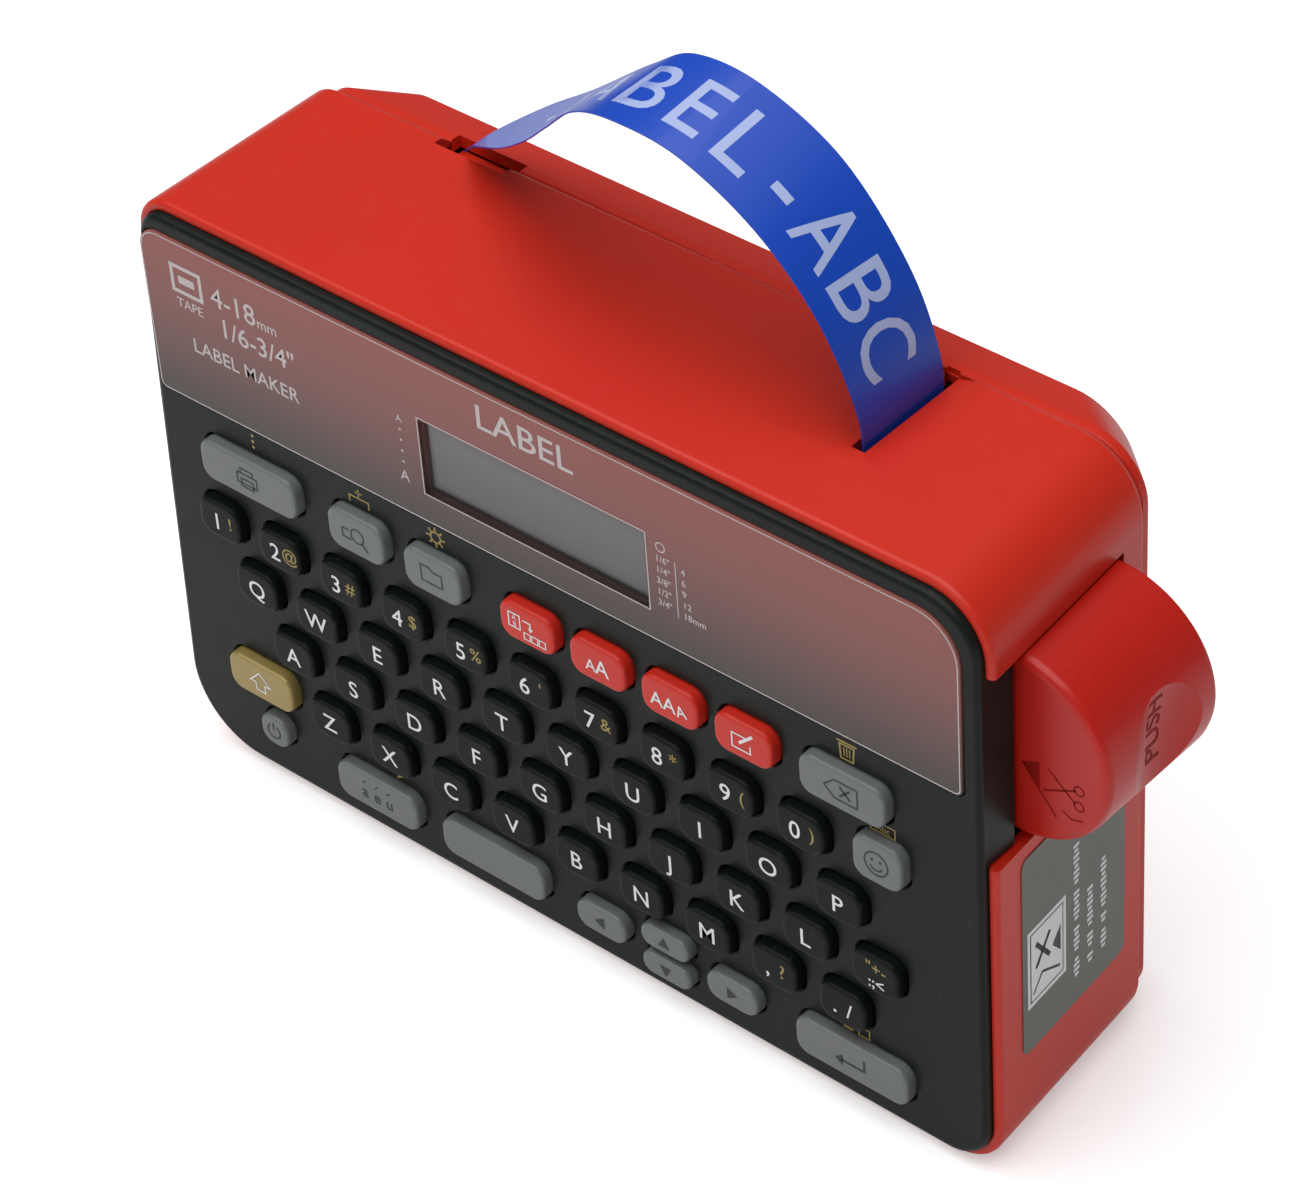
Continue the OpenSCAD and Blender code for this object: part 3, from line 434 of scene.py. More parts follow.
# Pale ink of the window's print; it also paints the highlight line along the window's polished edge.
LENS_PRINT_AND_HIGHLIGHT_INK = moulded("lens_print_and_painted_highlight", (0.56, 0.50, 0.49), 0.5, bump=0.05, change=0.1)
STEEL = metal("steel", (0.58, 0.59, 0.61), 0.26)
SPRING_STEEL = metal("spring_steel", (0.47, 0.48, 0.5), 0.3)
BLADE_STEEL = metal("blade_steel", (0.7, 0.71, 0.73), 0.16, stain=0.05)
MOTOR_CAN = metal("motor_can", (0.5, 0.5, 0.49), 0.34, stain=0.25)
BRASS = metal("brass", (0.62, 0.42, 0.15), 0.26)


def label_blue():
    """Glossy coated label film: deep blue with faint random shade and gloss changes."""
    made = moulded("blue_tape", (0.0015, 0.058, 0.48), 0.36, bump=0.03, change=0.12, gloss=0.08,
                   dust=0.01)
    made.node_tree.nodes["Principled BSDF"].inputs["Coat Weight"].default_value = 0.1
    return made


def film():
    """Wound ribbon or tape: fine turns seen on the end faces."""
    made = moulded("ribbon_film", (0.016, 0.016, 0.019), 0.25, bump=0.1)
    tree, _, shade = part_of(made)
    where = node(tree, "TexCoord")
    turns = node(tree, "TexWave", wave_type="RINGS", rings_direction="Y", Vector=(where, "Object"),
                 Scale=900.0)
    lift = node(tree, "Bump", Strength=0.3, Distance=0.00004, Height=(turns, "Fac"))
    tree.links.new(lift.outputs["Normal"], shade.inputs["Normal"])
    return made


def sticker():
    """Printed side label: grey-green foil with a fine print raster."""
    made = moulded("side_label", (0.098, 0.108, 0.088), 0.42, bump=0.05, change=0.1, grain=3200.0)
    tree, used, shade = part_of(made)
    where = node(tree, "TexCoord")
    raster = node(tree, "TexVoronoi", Vector=(where, "Object"), Scale=4200.0)
    weak = math_node(tree, "MULTIPLY", (raster, "Distance"), 0.12)
    ink = blend_node(tree, (weak, 0), (used, "Colour"), (0.3, 0.32, 0.28, 1))
    tree.links.new(ink.outputs[2], shade.inputs["Base Color"])
    return made


def board():
    """Solder mask over copper traces, with pads."""
    made = moulded("circuit_board", (0.012, 0.10, 0.045), 0.32, bump=0.05)
    tree, used, shade = part_of(made)
    where = node(tree, "TexCoord")
    cells = node(tree, "TexBrick", Vector=(where, "Object"), Scale=130.0, Mortar_Size=0.03)
    lanes = node(tree, "TexVoronoi", feature="DISTANCE_TO_EDGE", Vector=(where, "Object"), Scale=240.0,
                 Randomness=0.35)
    trace = node(tree, "MapRange", Value=(lanes, "Distance"), From_Min=0.10, From_Max=0.06)
    both = math_node(tree, "MAXIMUM", (trace, "Result"), (cells, "Fac"))
    copper = blend_node(tree, (both, 0), (used, "Colour"), (0.05, 0.20, 0.07, 1))
    tree.links.new(copper.outputs[2], shade.inputs["Base Color"])
    return made


def cell_wrap():
    """Battery sleeve: a dark sleeve with a metallic end band, split along x."""
    made = moulded("cell_wrap", (0.03, 0.032, 0.036), 0.28, bump=0.04)
    tree, used, shade = part_of(made)
    where = node(tree, "TexCoord")
    split = node(tree, "SeparateXYZ", Vector=(where, "Object"))
    centre = (span("batteries")[0].x + span("batteries")[1].x) / 2 * MM + ORIGIN.x
    band = node(tree, "MapRange", Value=(split, "X"), From_Min=centre + 0.0118, From_Max=centre + 0.0121)
    two = blend_node(tree, (band, "Result"), (used, "Colour"), (0.42, 0.24, 0.06, 1))
    tree.links.new(two.outputs[2], shade.inputs["Base Color"])
    return made


def display_glass():
    """A reflective display: grey-green, darker towards its lower edge, with a faint dot grid and a frame."""
    made = moulded("display_glass", (0.215, 0.24, 0.25), 0.22, bump=0.0, change=0.08)
    tree, used, shade = part_of(made)
    where = node(tree, "TexCoord")
    split = node(tree, "SeparateXYZ", Vector=(where, "Object"))
    dots = None
    for axis in ("X", "Z"):
        cell = math_node(tree, "MULTIPLY", (split, axis), 1 / (0.62 * MM))
        cell = math_node(tree, "FRACT", (cell, 0))
        line = node(tree, "MapRange", Value=(cell, 0), From_Min=0.14, From_Max=0.06)
        dots = line if dots is None else math_node(tree, "MAXIMUM", (dots, 0), (line, 0))
    faint = math_node(tree, "MULTIPLY", (dots, 0), 0.16)
    grid = blend_node(tree, (faint, 0), (used, "Colour"), (0.27, 0.30, 0.30, 1))
    low = node(tree, "MapRange", Value=(split, "Z"), From_Min=(LCD_Z + 7) * MM, From_Max=(LCD_Z - 7) * MM,
               To_Max=0.55)
    made_dark = blend_node(tree, (low, "Result"), (grid, 2), (0.062, 0.068, 0.068, 1))
    edge = None
    for axis, middle, half in (("X", LCD_X * MM + ORIGIN.x, LCD_W / 2), ("Z", LCD_Z * MM, LCD_H / 2)):
        away = math_node(tree, "SUBTRACT", (split, axis), middle)
        away = math_node(tree, "ABSOLUTE", (away, 0))
        line = node(tree, "MapRange", Value=(away, 0), From_Min=(half - 0.9) * MM,
                    From_Max=(half - 0.75) * MM)
        edge = line if edge is None else math_node(tree, "MAXIMUM", (edge, 0), (line, 0))
    framed = blend_node(tree, (edge, 0), (made_dark, 2), (0.035, 0.038, 0.038, 1))
    tree.links.new(framed.outputs[2], shade.inputs["Base Color"])
    return made


def tinted_lens():
    """The printed window: a fine dot print that fades from dusty red to black, clear over the display."""
    made = moulded("tinted_lens", (0.25, 0.10, 0.09), 0.14, bump=0.0, change=0.06, gloss=0.06,
                   Specular_IOR_Level=0.3)
    tree, _, shade = part_of(made)
    where = node(tree, "TexCoord")
    split = node(tree, "SeparateXYZ", Vector=(where, "Object"))
    height = node(tree, "MapRange", Value=(split, "Z"), From_Min=LENS_LO.z * MM, From_Max=LENS_HI.z * MM)
    raster = node(tree, "TexVoronoi", Vector=(where, "Object"), Scale=2300.0, Randomness=0.15)
    jitter = math_node(tree, "MULTIPLY_ADD", (raster, "Distance"), 0.10)
    tree.links.new(height.outputs["Result"], jitter.inputs[2])
    ramp = node(tree, "ValToRGB", Fac=(jitter, 0))
    stops = ((0.0, (0.060, 0.050, 0.048)), (0.14, (0.082, 0.058, 0.055)), (0.40, (0.165, 0.080, 0.074)),
             (0.68, (0.250, 0.092, 0.084)), (1.0, (0.300, 0.094, 0.082)))
    for k, (place, colour) in enumerate(stops):
        stop = ramp.color_ramp.elements[k] if k < 2 else ramp.color_ramp.elements.new(place)
        stop.position, stop.color = place, (*colour, 1)
    tree.links.new(ramp.outputs["Color"], shade.inputs["Base Color"])
    clear = None
    for axis, middle, half in (("X", LCD_X * MM + ORIGIN.x, LCD_W / 2), ("Z", LCD_Z * MM, LCD_H / 2)):
        away = math_node(tree, "SUBTRACT", (split, axis), middle)
        away = math_node(tree, "ABSOLUTE", (away, 0))
        inside = node(tree, "MapRange", Value=(away, 0), From_Min=half * MM, From_Max=(half + 0.06) * MM)
        clear = inside if clear is None else math_node(tree, "MAXIMUM", (clear, 0), (inside, 0))
    see = node(tree, "MapRange", Value=(clear, 0), To_Min=0.10, To_Max=1.0)
    tree.links.new(see.outputs["Result"], shade.inputs["Alpha"])
    return made


BLUE, FILM, STICKER, BOARD, CELL = label_blue(), film(), sticker(), board(), cell_wrap()
LCD, LENS = display_glass(), tinted_lens()


def pale_floor():
    """A plain pale sheet that looks brighter than the light it gives back."""
    made = moulded("pale_floor", (0.88, 0.88, 0.88), 0.6, bump=0.05, grain=700.0, change=0.02, dust=0.0,
                   Specular_IOR_Level=0.1, Emission_Color=(1, 1, 1, 1))
    tree, _, shade = part_of(made)
    path = node(tree, "LightPath")
    glow = node(tree, "MapRange", Value=(path, "Is Camera Ray"), To_Min=0.05, To_Max=0.40)
    tree.links.new(glow.outputs["Result"], shade.inputs["Emission Strength"])
    return made


FLOOR = pale_floor()

CARRIED = {
    "keypad_mat": GREY_RUBBER, "main_board": BOARD, "chassis": DARK, "case_screws": STEEL, "display": LCD,
    "batteries": CELL, "battery_contacts": SPRING_STEEL, "motor": MOTOR_CAN, "motor_pinion": BRASS,
    "large_idler": WHITE_GEAR, "transfer_gear": WHITE_GEAR, "platen_roller": BLACK_RUBBER,
    "ribbon_spindle": WHITE_GEAR, "print_head": STEEL, "tape_cassette": IVORY, "tape_roll": BLUE,
    "ribbon_supply": FILM, "tape_web": BLUE, "lever_pin": STEEL, "lever_spring": SPRING_STEEL,
    "cutter_carriage": DARK, "cutter_blade": BLADE_STEEL, "cutter_anvil": STEEL, "side_label": STICKER,
}
for name, material in CARRIED.items():
    for slot in NODES[name].material_slots:
        slot.material = material

floor = solid("floor", loft([[(-2500, -2500, z), (2600, -2500, z), (2600, 2500, z), (-2500, 2500, z)]
                             for z in (-6, -0.02)]))
floor.data.materials.append(FLOOR)


# ---------- front shell ----------

def front_shell():
    """The red shell: eased front edge, chamfer at the seam, funnel, tape slot, notch and lever window."""
    profile = [(RIM_Y, 1.45), (RIM_Y, 0.85), (RIM_Y + 0.12, 0.45), (RIM_Y + 0.45, 0.12),
               (RIM_Y + 0.9, 0.0),
               (SEAM_Y - 1.9, 0.0), (SEAM_Y - 1.6, 0.1), (SEAM_Y - 0.25, 1.25), (SEAM_Y, 1.45),
               (SEAM_Y, WALL), (2.0, WALL), (2.0, 1.45)]
    shell = solid("front_shell_red", loft([outline(y, inset) for y, inset in profile], closed=True))
    carve(shell, block(SLOT_X - 19, SLOT_X + 11, 14.6, SEAM_Y - 0.05, BODY_H - WALL - 2.4,
                       BODY_H - WALL + 0.4),
          "UNION")
    top = lambda z: (z - (BODY_H - 2.4)) / 2.4
    ring = lambda z: [(SLOT_X - 1.2 - 15.8 * top(z), 19.5 - 5.1 * top(z), z),
                      (SLOT_X + 1.2 + 7.8 * top(z), 19.5 - 5.1 * top(z), z),
                      (SLOT_X + 1.2 + 7.8 * top(z), 60, z), (SLOT_X - 1.2 - 15.8 * top(z), 60, z)]
    carve(shell, loft([ring(BODY_H - 2.4), ring(BODY_H + 1.0)]))
    carve(shell, block(SLOT_X - 1.2, SLOT_X + 1.2, 19.5, 41.1, 99, 130))
    carve(shell, block(32, 46, SEAM_Y - 3.2, SEAM_Y + 2, BODY_H - 6, BODY_H + 3))
    carve(shell, block(BODY_W - 12, BODY_W + 10, -2, 33.9, WINDOW_Z, LEVER_TOP))
    ease_edges(shell, 0.22, angle=50)
    return dress(shell, RED, "housing", ["front_shell"])


front_shell()


# ---------- rear cover ----------

def rear_cover():
    """The red cover: a shallow box with broad bevels, plugged into the shell by a rim."""
    def ring(t, extra=0.0, y=None):
        depth = COVER_Y + 1.5 + (BACK_Y - COVER_Y - 1.5) * t
        return outline(depth if y is None else y, 1.5 * (1 - t) + extra, 9 * t, 3.6 * t)

    outer = [outline(COVER_Y, 1.75), outline(COVER_Y + 0.25, 1.5), outline(COVER_Y + 1.4, 1.5),
             ring(0.04), ring(0.93),
             outline(BACK_Y - 0.22, 0.1, 8.9, 3.7), outline(BACK_Y - 0.05, 0.0, 9.5, 4.3),
             outline(BACK_Y, 0.0, 10.4, 5.2)]
    inner = [outline(COVER_Y, 1.5 + WALL), outline(COVER_Y + 1.5, 1.5 + WALL),
             ring(0.7, WALL, BACK_Y - WALL)]
    cover = solid("rear_cover_red", loft(list(reversed(outer)) + inner))
    rim_profile = [(SEAM_Y - 3.5, WALL + 0.5), (SEAM_Y - 3.2, WALL + 0.35), (COVER_Y + 2, WALL + 0.35),
                   (COVER_Y + 2, WALL + 1.75), (SEAM_Y - 3.5, WALL + 1.75)]
    rim = loft([outline(y, inset) for y, inset in rim_profile], closed=True)
    plug = solid("plug_rim", rim)
    for gap in (block(30, 48, -1, COVER_Y + 3, BODY_H - 8, BODY_H + 4),
                block(SLOT_X - 24, SLOT_X + 28, -1, COVER_Y, BODY_H - 12, BODY_H + 8),
                block(BODY_W - 14, BODY_W + 6, -1, COVER_Y, WINDOW_Z - 3, LEVER_TOP + 3)):
        carve(plug, gap)
    carve(cover, block(32, 46, COVER_Y - 3, COVER_Y + 2, BODY_H - 6, BODY_H + 3))
    carve(cover, block(SLOT_X - 1.2, SLOT_X + 1.2, COVER_Y - 3, 41.1, 99, 130))
    ease_edges(cover, 0.2, angle=50)
    dress(plug, RED, "rear_cover")
    lip = solid("notch_lip", block(32.2, 45.8, SEAM_Y - 3.0, COVER_Y + 2.2, BODY_H - 5.6, BODY_H - 4.4))
    dress(lip, RED, "rear_cover")
    return dress(cover, RED, "rear_cover", ["rear_cover"])


rear_cover()


# ---------- face plate ----------

LETTERS = {"keys_digits": 10, "keys_upper": 10, "keys_middle": 10, "keys_lower": 9}
SINGLES = [n for n in NODES if n.startswith("key_")]


def row_places(name):
    """Centres, width and height of the keys of one row."""
    lo, hi = span(name)
    w = 8.8
    first, last = lo.x + w / 2 + FLANGE, hi.x - w / 2 - FLANGE
    z = (lo.z + hi.z) / 2
    return [(x, z) for x in np.linspace(first, last, LETTERS[name])], w, hi.z - lo.z - 2 * FLANGE


def single_place(name):
    lo, hi = span(name)
    return (lo.x + hi.x) / 2, (lo.z + hi.z) / 2, hi.x - lo.x - 2 * FLANGE, hi.z - lo.z - 2 * FLANGE


def all_keys():
    for name in LETTERS:
        places, w, h = row_places(name)
        yield from ((x, z, w, h) for x, z in places)
    for name in SINGLES:
        yield single_place(name)


def corner(h):
    return min(2.4, h / 2 - 0.2)


def window_ring(y, grow):
    """Outline of the printed window: small round corners, a larger one at the top right."""
    x0, x1, z0, z1 = LENS_LO.x - grow, LENS_HI.x + grow, LENS_LO.z - grow, LENS_HI.z + grow
    points = []
    rounds = ((x1, z0, -1, 1, 1.4), (x1, z1, -1, -1, 7.5), (x0, z1, 1, -1, 4.0), (x0, z0, 1, 1, 1.4))
    for k, (x, z, sx, sz, r) in enumerate(rounds):
        r = r + grow
        for a in np.linspace(-90 + 90 * k, 90 * k, 9):
            t = math.radians(a)
            points.append((x + sx * r + r * math.cos(t), y, z + sz * r + r * math.sin(t)))
    return points


def face_plate():
    """The black plate with its soft edge, a hole for every key, and the seat and port of the window."""
    profile = [(2.0, 1.6), (1.0, 1.6), (0.62, 1.68), (0.3, 1.9), (0.09, 2.25), (0.0, 2.7)]
    plate = solid("face_plate_black", loft([outline(y, inset) for y, inset in profile]))
    holes = []
    for x, z, w, h in all_keys():
        ring = lambda y, g: round_rect(x, z, w + 2 * g, h + 2 * g, corner(h) + g, y)
        holes.append(loft([ring(-0.3, 0.9), ring(0.25, 0.35), ring(3, 0.35)]))
    carve(plate, join(*holes))
    carve(plate, loft([window_ring(-0.2, 0.5), window_ring(0.15, 0.15), window_ring(0.8, 0.15)]))
    carve(plate, block(LCD_X - LCD_W / 2 - 1.5, LCD_X + LCD_W / 2 + 1.5, -1, 4, LCD_Z - LCD_H / 2 - 1.5,
                       LCD_Z + LCD_H / 2 + 1.5))
    dress(plate, BLACK, "housing", ["face_panel"])
    skirt_profile = [(1.95, WALL + 0.15), (3.8, WALL + 0.15), (3.8, WALL + 1.6), (1.95, WALL + 1.6)]
    skirt = loft([outline(y, inset) for y, inset in skirt_profile], closed=True)
    posts = [(8.5, 57.4), (10, 98), (59.5, 102.6), (104.5, 102.6), (BODY_W - 9.5, 14), (BODY_W - 9.5, 48)]
    frame_part = solid("face_frame", join(skirt, *[rod(x, z, 1.9, 12.2, 2.4, 0.2) for x, z in posts]))
    dress(frame_part, BLACK, "housing")
    cheek = solid("lever_cheek", block(BODY_W - 5, BODY_W - 1.6, 1.0, 7.8, WINDOW_Z + 0.3,
                                       LEVER_TOP - 0.3))
    ease_edges(cheek, 0.35)
    dress(cheek, BLACK, "housing")


face_plate()


def lens_and_screen():
    """The window with its polished edge."""
    y0, y1 = LENS_LO.y, LENS_HI.y
    lens = solid("window_lens", loft([window_ring(y1, -0.05), window_ring(y0 + 0.35, 0.0),
                                      window_ring(y0 + 0.1, -0.08),
                                      window_ring(y0, -0.3)]))
    dress(lens, LENS, "housing", ["lens"])
    panel = solid("display_panel", block(LCD_X - LCD_W / 2 - 1.3, LCD_X + LCD_W / 2 + 1.3,
                                         y1 + 0.05, 2.05,
                                         LCD_Z - LCD_H / 2 - 1.3, LCD_Z + LCD_H / 2 + 1.3))
    ease_edges(panel, 0.15)
    dress(panel, LCD, "housing")


lens_and_screen()


# ---------- keys ----------

def cap_shape(x, z, w, h):
    """One key cap: flange, upright sides, soft shoulder and a faintly dished top."""
    ring = lambda y, g: round_rect(x, z, w + 2 * g, h + 2 * g, corner(h) + g, y)
    return loft([ring(KEY_BACK, FLANGE), ring(KEY_BACK - 0.8, FLANGE), ring(KEY_BACK - 0.8, 0.0),
                 ring(KEY_TOP + 0.75, -0.02),
                 ring(KEY_TOP + 0.42, -0.08), ring(KEY_TOP + 0.17, -0.22), ring(KEY_TOP + 0.04, -0.46),
                 ring(KEY_TOP, -0.8), ring(KEY_TOP + 0.03, -1.5)])


def row_tree():
    """Geometry nodes: a row of equal caps from one cap, a count and a pitch."""
    tree = bpy.data.node_groups.new("key_row", "GeometryNodeTree")
    tree.interface.new_socket(name="Geometry", in_out="INPUT", socket_type="NodeSocketGeometry")
    for label, kind in (("Count", "Int"), ("Pitch", "Float"), ("Finish", "Material")):
        tree.interface.new_socket(name=label, in_out="INPUT", socket_type="NodeSocket" + kind)
    tree.interface.new_socket(name="Geometry", in_out="OUTPUT", socket_type="NodeSocketGeometry")
    start, end = tree.nodes.new("NodeGroupInput"), tree.nodes.new("NodeGroupOutput")
    step = tree.nodes.new("ShaderNodeCombineXYZ")
    line = tree.nodes.new("GeometryNodeMeshLine")
    scatter = tree.nodes.new("GeometryNodeInstanceOnPoints")
    real = tree.nodes.new("GeometryNodeRealizeInstances")
    paint = tree.nodes.new("GeometryNodeSetMaterial")
    for a, b in ((start.outputs["Pitch"], step.inputs["X"]), (step.outputs[0], line.inputs["Offset"]),
                 (start.outputs["Count"], line.inputs["Count"]),
                 (line.outputs[0], scatter.inputs["Points"]),
                 (start.outputs["Geometry"], scatter.inputs["Instance"]),
                 (scatter.outputs[0], real.inputs[0]),
                 (real.outputs[0], paint.inputs[0]), (start.outputs["Finish"], paint.inputs["Material"]),
                 (paint.outputs[0], end.inputs[0])):
        tree.links.new(a, b)
    return tree


KEY_ROW = row_tree()


def letter_row(name):
    places, w, h = row_places(name)
    row = solid(name + "_caps", cap_shape(places[0][0], places[0][1], w, h))
    change = row.modifiers.new("row", "NODES")
    change.node_group = KEY_ROW
    for socket in KEY_ROW.interface.items_tree:
        if socket.in_out == "INPUT" and socket.name in ("Count", "Pitch", "Finish"):
            change[socket.identifier] = {"Count": len(places),
                                         "Pitch": (places[1][0] - places[0][0]) * MM,
                                         "Finish": KEY_BLACK}[socket.name]
    bake(row)
    dress(row, KEY_BLACK, name, [name])


for row_name in LETTERS:
    letter_row(row_name)

SINGLE_FINISH = {"key_frame": KEY_RED, "key_size": KEY_RED, "key_style": KEY_RED, "key_edit": KEY_RED,
                 "key_shift": KEY_GOLD}
for key_name in SINGLES:
    finish = SINGLE_FINISH.get(key_name, KEY_GREY)
    dress(solid(key_name + "_cap", cap_shape(*single_place(key_name))), finish, key_name, [key_name])


# ---------- printed legends ----------

LETTER_CACHE = {}


def lettering(text):
    """Flat points and faces of a line of text with capitals of height 1, starting at x = 0, and its width."""
    if text not in LETTER_CACHE:
        curve = bpy.data.curves.new("text", "FONT")
        curve.body, curve.size, curve.resolution_u, curve.offset = text, 1.0, 4, 0.006
        thing = bpy.data.objects.new("text", curve)
        bpy.context.scene.collection.objects.link(thing)
        bpy.context.view_layer.update()
        mesh = bpy.data.meshes.new_from_object(thing.evaluated_get(bpy.context.evaluated_depsgraph_get()))
        points = [(v.co.x / 0.69, v.co.y / 0.69) for v in mesh.vertices]
        faces = [tuple(f.vertices) for f in mesh.polygons if f.area > 1e-9]
        bpy.data.objects.remove(thing)
        LETTER_CACHE[text] = points, faces, max(p[0] for p in points)
    return LETTER_CACHE[text]


class Ink:
    """Flat printing: text, strokes and shapes in x and z, each with the index of its ink."""

    def __init__(self):
        self.points, self.faces, self.paint = [], [], []

    def add(self, points, faces, paint):
        start = len(self.points)
        self.points += points
        self.faces += [tuple(i + start for i in f) for f in faces]
        self.paint += [paint] * len(faces)

    def text(self, words, x, z, height, paint=0, align=0.5, squeeze=1.0, turn=0.0):
        points, faces, width = lettering(words)
        c, s = math.cos(math.radians(turn)), math.sin(math.radians(turn))
        placed = []
        for px, pz in points:
            u, v = (px - width * align) * height * squeeze, (pz - 0.5) * height
            placed.append((x + u * c - v * s, z + u * s + v * c))
        self.add(placed, faces, paint)

    def shape(self, points, paint=0):
        self.add([tuple(p) for p in points], [tuple(range(len(points)))], paint)

    def stroke(self, points, width=0.26, paint=0, closed=False):
        """A line of even width with square joints."""
        points = [np.array(p, float) for p in points]
        n = len(points)
        left, right = [], []
        for i in range(n):
            before = points[i] - points[i - 1] if closed or i else points[1] - points[0]
            after = points[(i + 1) % n] - points[i] if closed or i < n - 1 else before
            a, b = before / np.linalg.norm(before), after / np.linalg.norm(after)
            way = a + b
            way = a if np.linalg.norm(way) < 1e-6 else way / np.linalg.norm(way)
            side = np.array((-way[1], way[0])) * width / 2 / max(0.4, float(np.dot(way, a)))
            left.append(tuple(points[i] + side))
            right.append(tuple(points[i] - side))
        faces = [(n + i, n + (i + 1) % n, (i + 1) % n, i) for i in range(n if closed else n - 1)]
        self.add(left + right, faces, paint)

    def ring(self, x, z, r, width=0.26, paint=0, start=0.0, end=360.0):
        full = end - start > 359
        angles = np.radians(np.linspace(start, end, 25)[:-1] if full else np.linspace(start, end, 17))
        self.stroke([(x + r * math.cos(a), z + r * math.sin(a)) for a in angles], width, paint, full)

    def disc(self, x, z, r, paint=0):
        self.shape([(x + r * math.cos(a), z + r * math.sin(a))
                    for a in np.linspace(0, math.tau, 16, endpoint=False)], paint)

    def box(self, x, z, w, h, width=0.26, paint=0):
        self.stroke([(x - w / 2, z - h / 2), (x + w / 2, z - h / 2), (x + w / 2, z + h / 2),
                     (x - w / 2, z + h / 2)],
                    width, paint, True)

    def bar(self, x, z, w, h, paint=0):
        self.shape([(x - w / 2, z - h / 2), (x + w / 2, z - h / 2), (x + w / 2, z + h / 2),
                    (x - w / 2, z + h / 2)], paint)

    def lay(self, name, place, facing, finishes, body, step=0.0):
        """Makes the printing one mesh: place turns (x, z) into a point, facing is the way it looks.

        With a step, the faces are first cut that small, so that they follow a curved surface.
        """
        mesh = bpy.data.meshes.new(name)
        mesh.from_pydata([(x, 0, z) for x, z in self.points], [], self.faces)
        mesh.polygons.foreach_set("material_index", self.paint)
        work = bmesh.new()
        work.from_mesh(mesh)
        for axis in (0, 2) if step else ():
            places = [v.co[axis] for v in work.verts]
            for place_of_cut in np.arange(min(places) + step, max(places), step):
                at = [place_of_cut if k == axis else 0 for k in range(3)]
                bmesh.ops.bisect_plane(work, geom=work.verts[:] + work.edges[:] + work.faces[:],
                                       plane_co=at,
                                       plane_no=[float(k == axis) for k in range(3)])
        for v in work.verts:
            v.co = Vector(put(place(v.co.x, v.co.z)))
        bmesh.ops.triangulate(work, faces=[f for f in work.faces if len(f.verts) > 4])
        work.normal_update()
        bmesh.ops.reverse_faces(work, faces=[f for f in work.faces if f.normal.dot(Vector(facing)) < 0])
        work.to_mesh(mesh)
        work.free()
        thing = bpy.data.objects.new(name, mesh)
        bpy.context.scene.collection.objects.link(thing)
        return dress(thing, finishes, body, flat=True)


INKS = [WHITE_INK, GOLD_INK, DARK_INK]
INK_LIFT = 0.02
ON_KEY = lambda x, z: (x, KEY_TOP - INK_LIFT, z)
ON_FACE = lambda x, z: (x, -INK_LIFT, z)
ON_LENS = lambda x, z: (x, LENS_LO.y - INK_LIFT, z)
FRONT = (0, -1, 0)


def letter_legends():
    """Letters and digits with their second, gold signs."""
    rows = {"keys_digits": list(zip("1234567890", "!@#$%'&*()")),
            "keys_upper": [(c, "") for c in "QWERTYUIOP"],
            "keys_middle": [(c, "") for c in "ASDFGHJKL"], "keys_lower": [(c, "") for c in "ZXCVBNM"]}
    for name, signs in rows.items():
        places = row_places(name)[0]
        ink = Ink()
        for (x, z), (main, second) in zip(places, signs):
            shift = -0.9 if second else 0.0
            ink.text(main, x + shift, z - 0.1, 3.1)
            if second:
                ink.text(second, x + 2.3, z + 0.5, 2.3, 1)
        if name == "keys_middle":
            x, z = places[9]
            ink.text("\"+-", x + 0.2, z + 1.4, 2.1, 1)
            ink.text(":;<", x + 0.2, z - 1.5, 2.1, 0)
        if name == "keys_lower":
            (x, z), (x2, z2) = places[7], places[8]
            ink.text(",", x - 1.2, z, 3.0)
            ink.text("?", x + 1.6, z + 0.4, 2.6, 1)
            ink.text(".", x2 - 1.4, z2, 3.0)
            ink.text("/", x2 + 1.4, z2, 2.8)
        ink.lay(name + "_legend", ON_KEY, FRONT, INKS, name)


letter_legends()


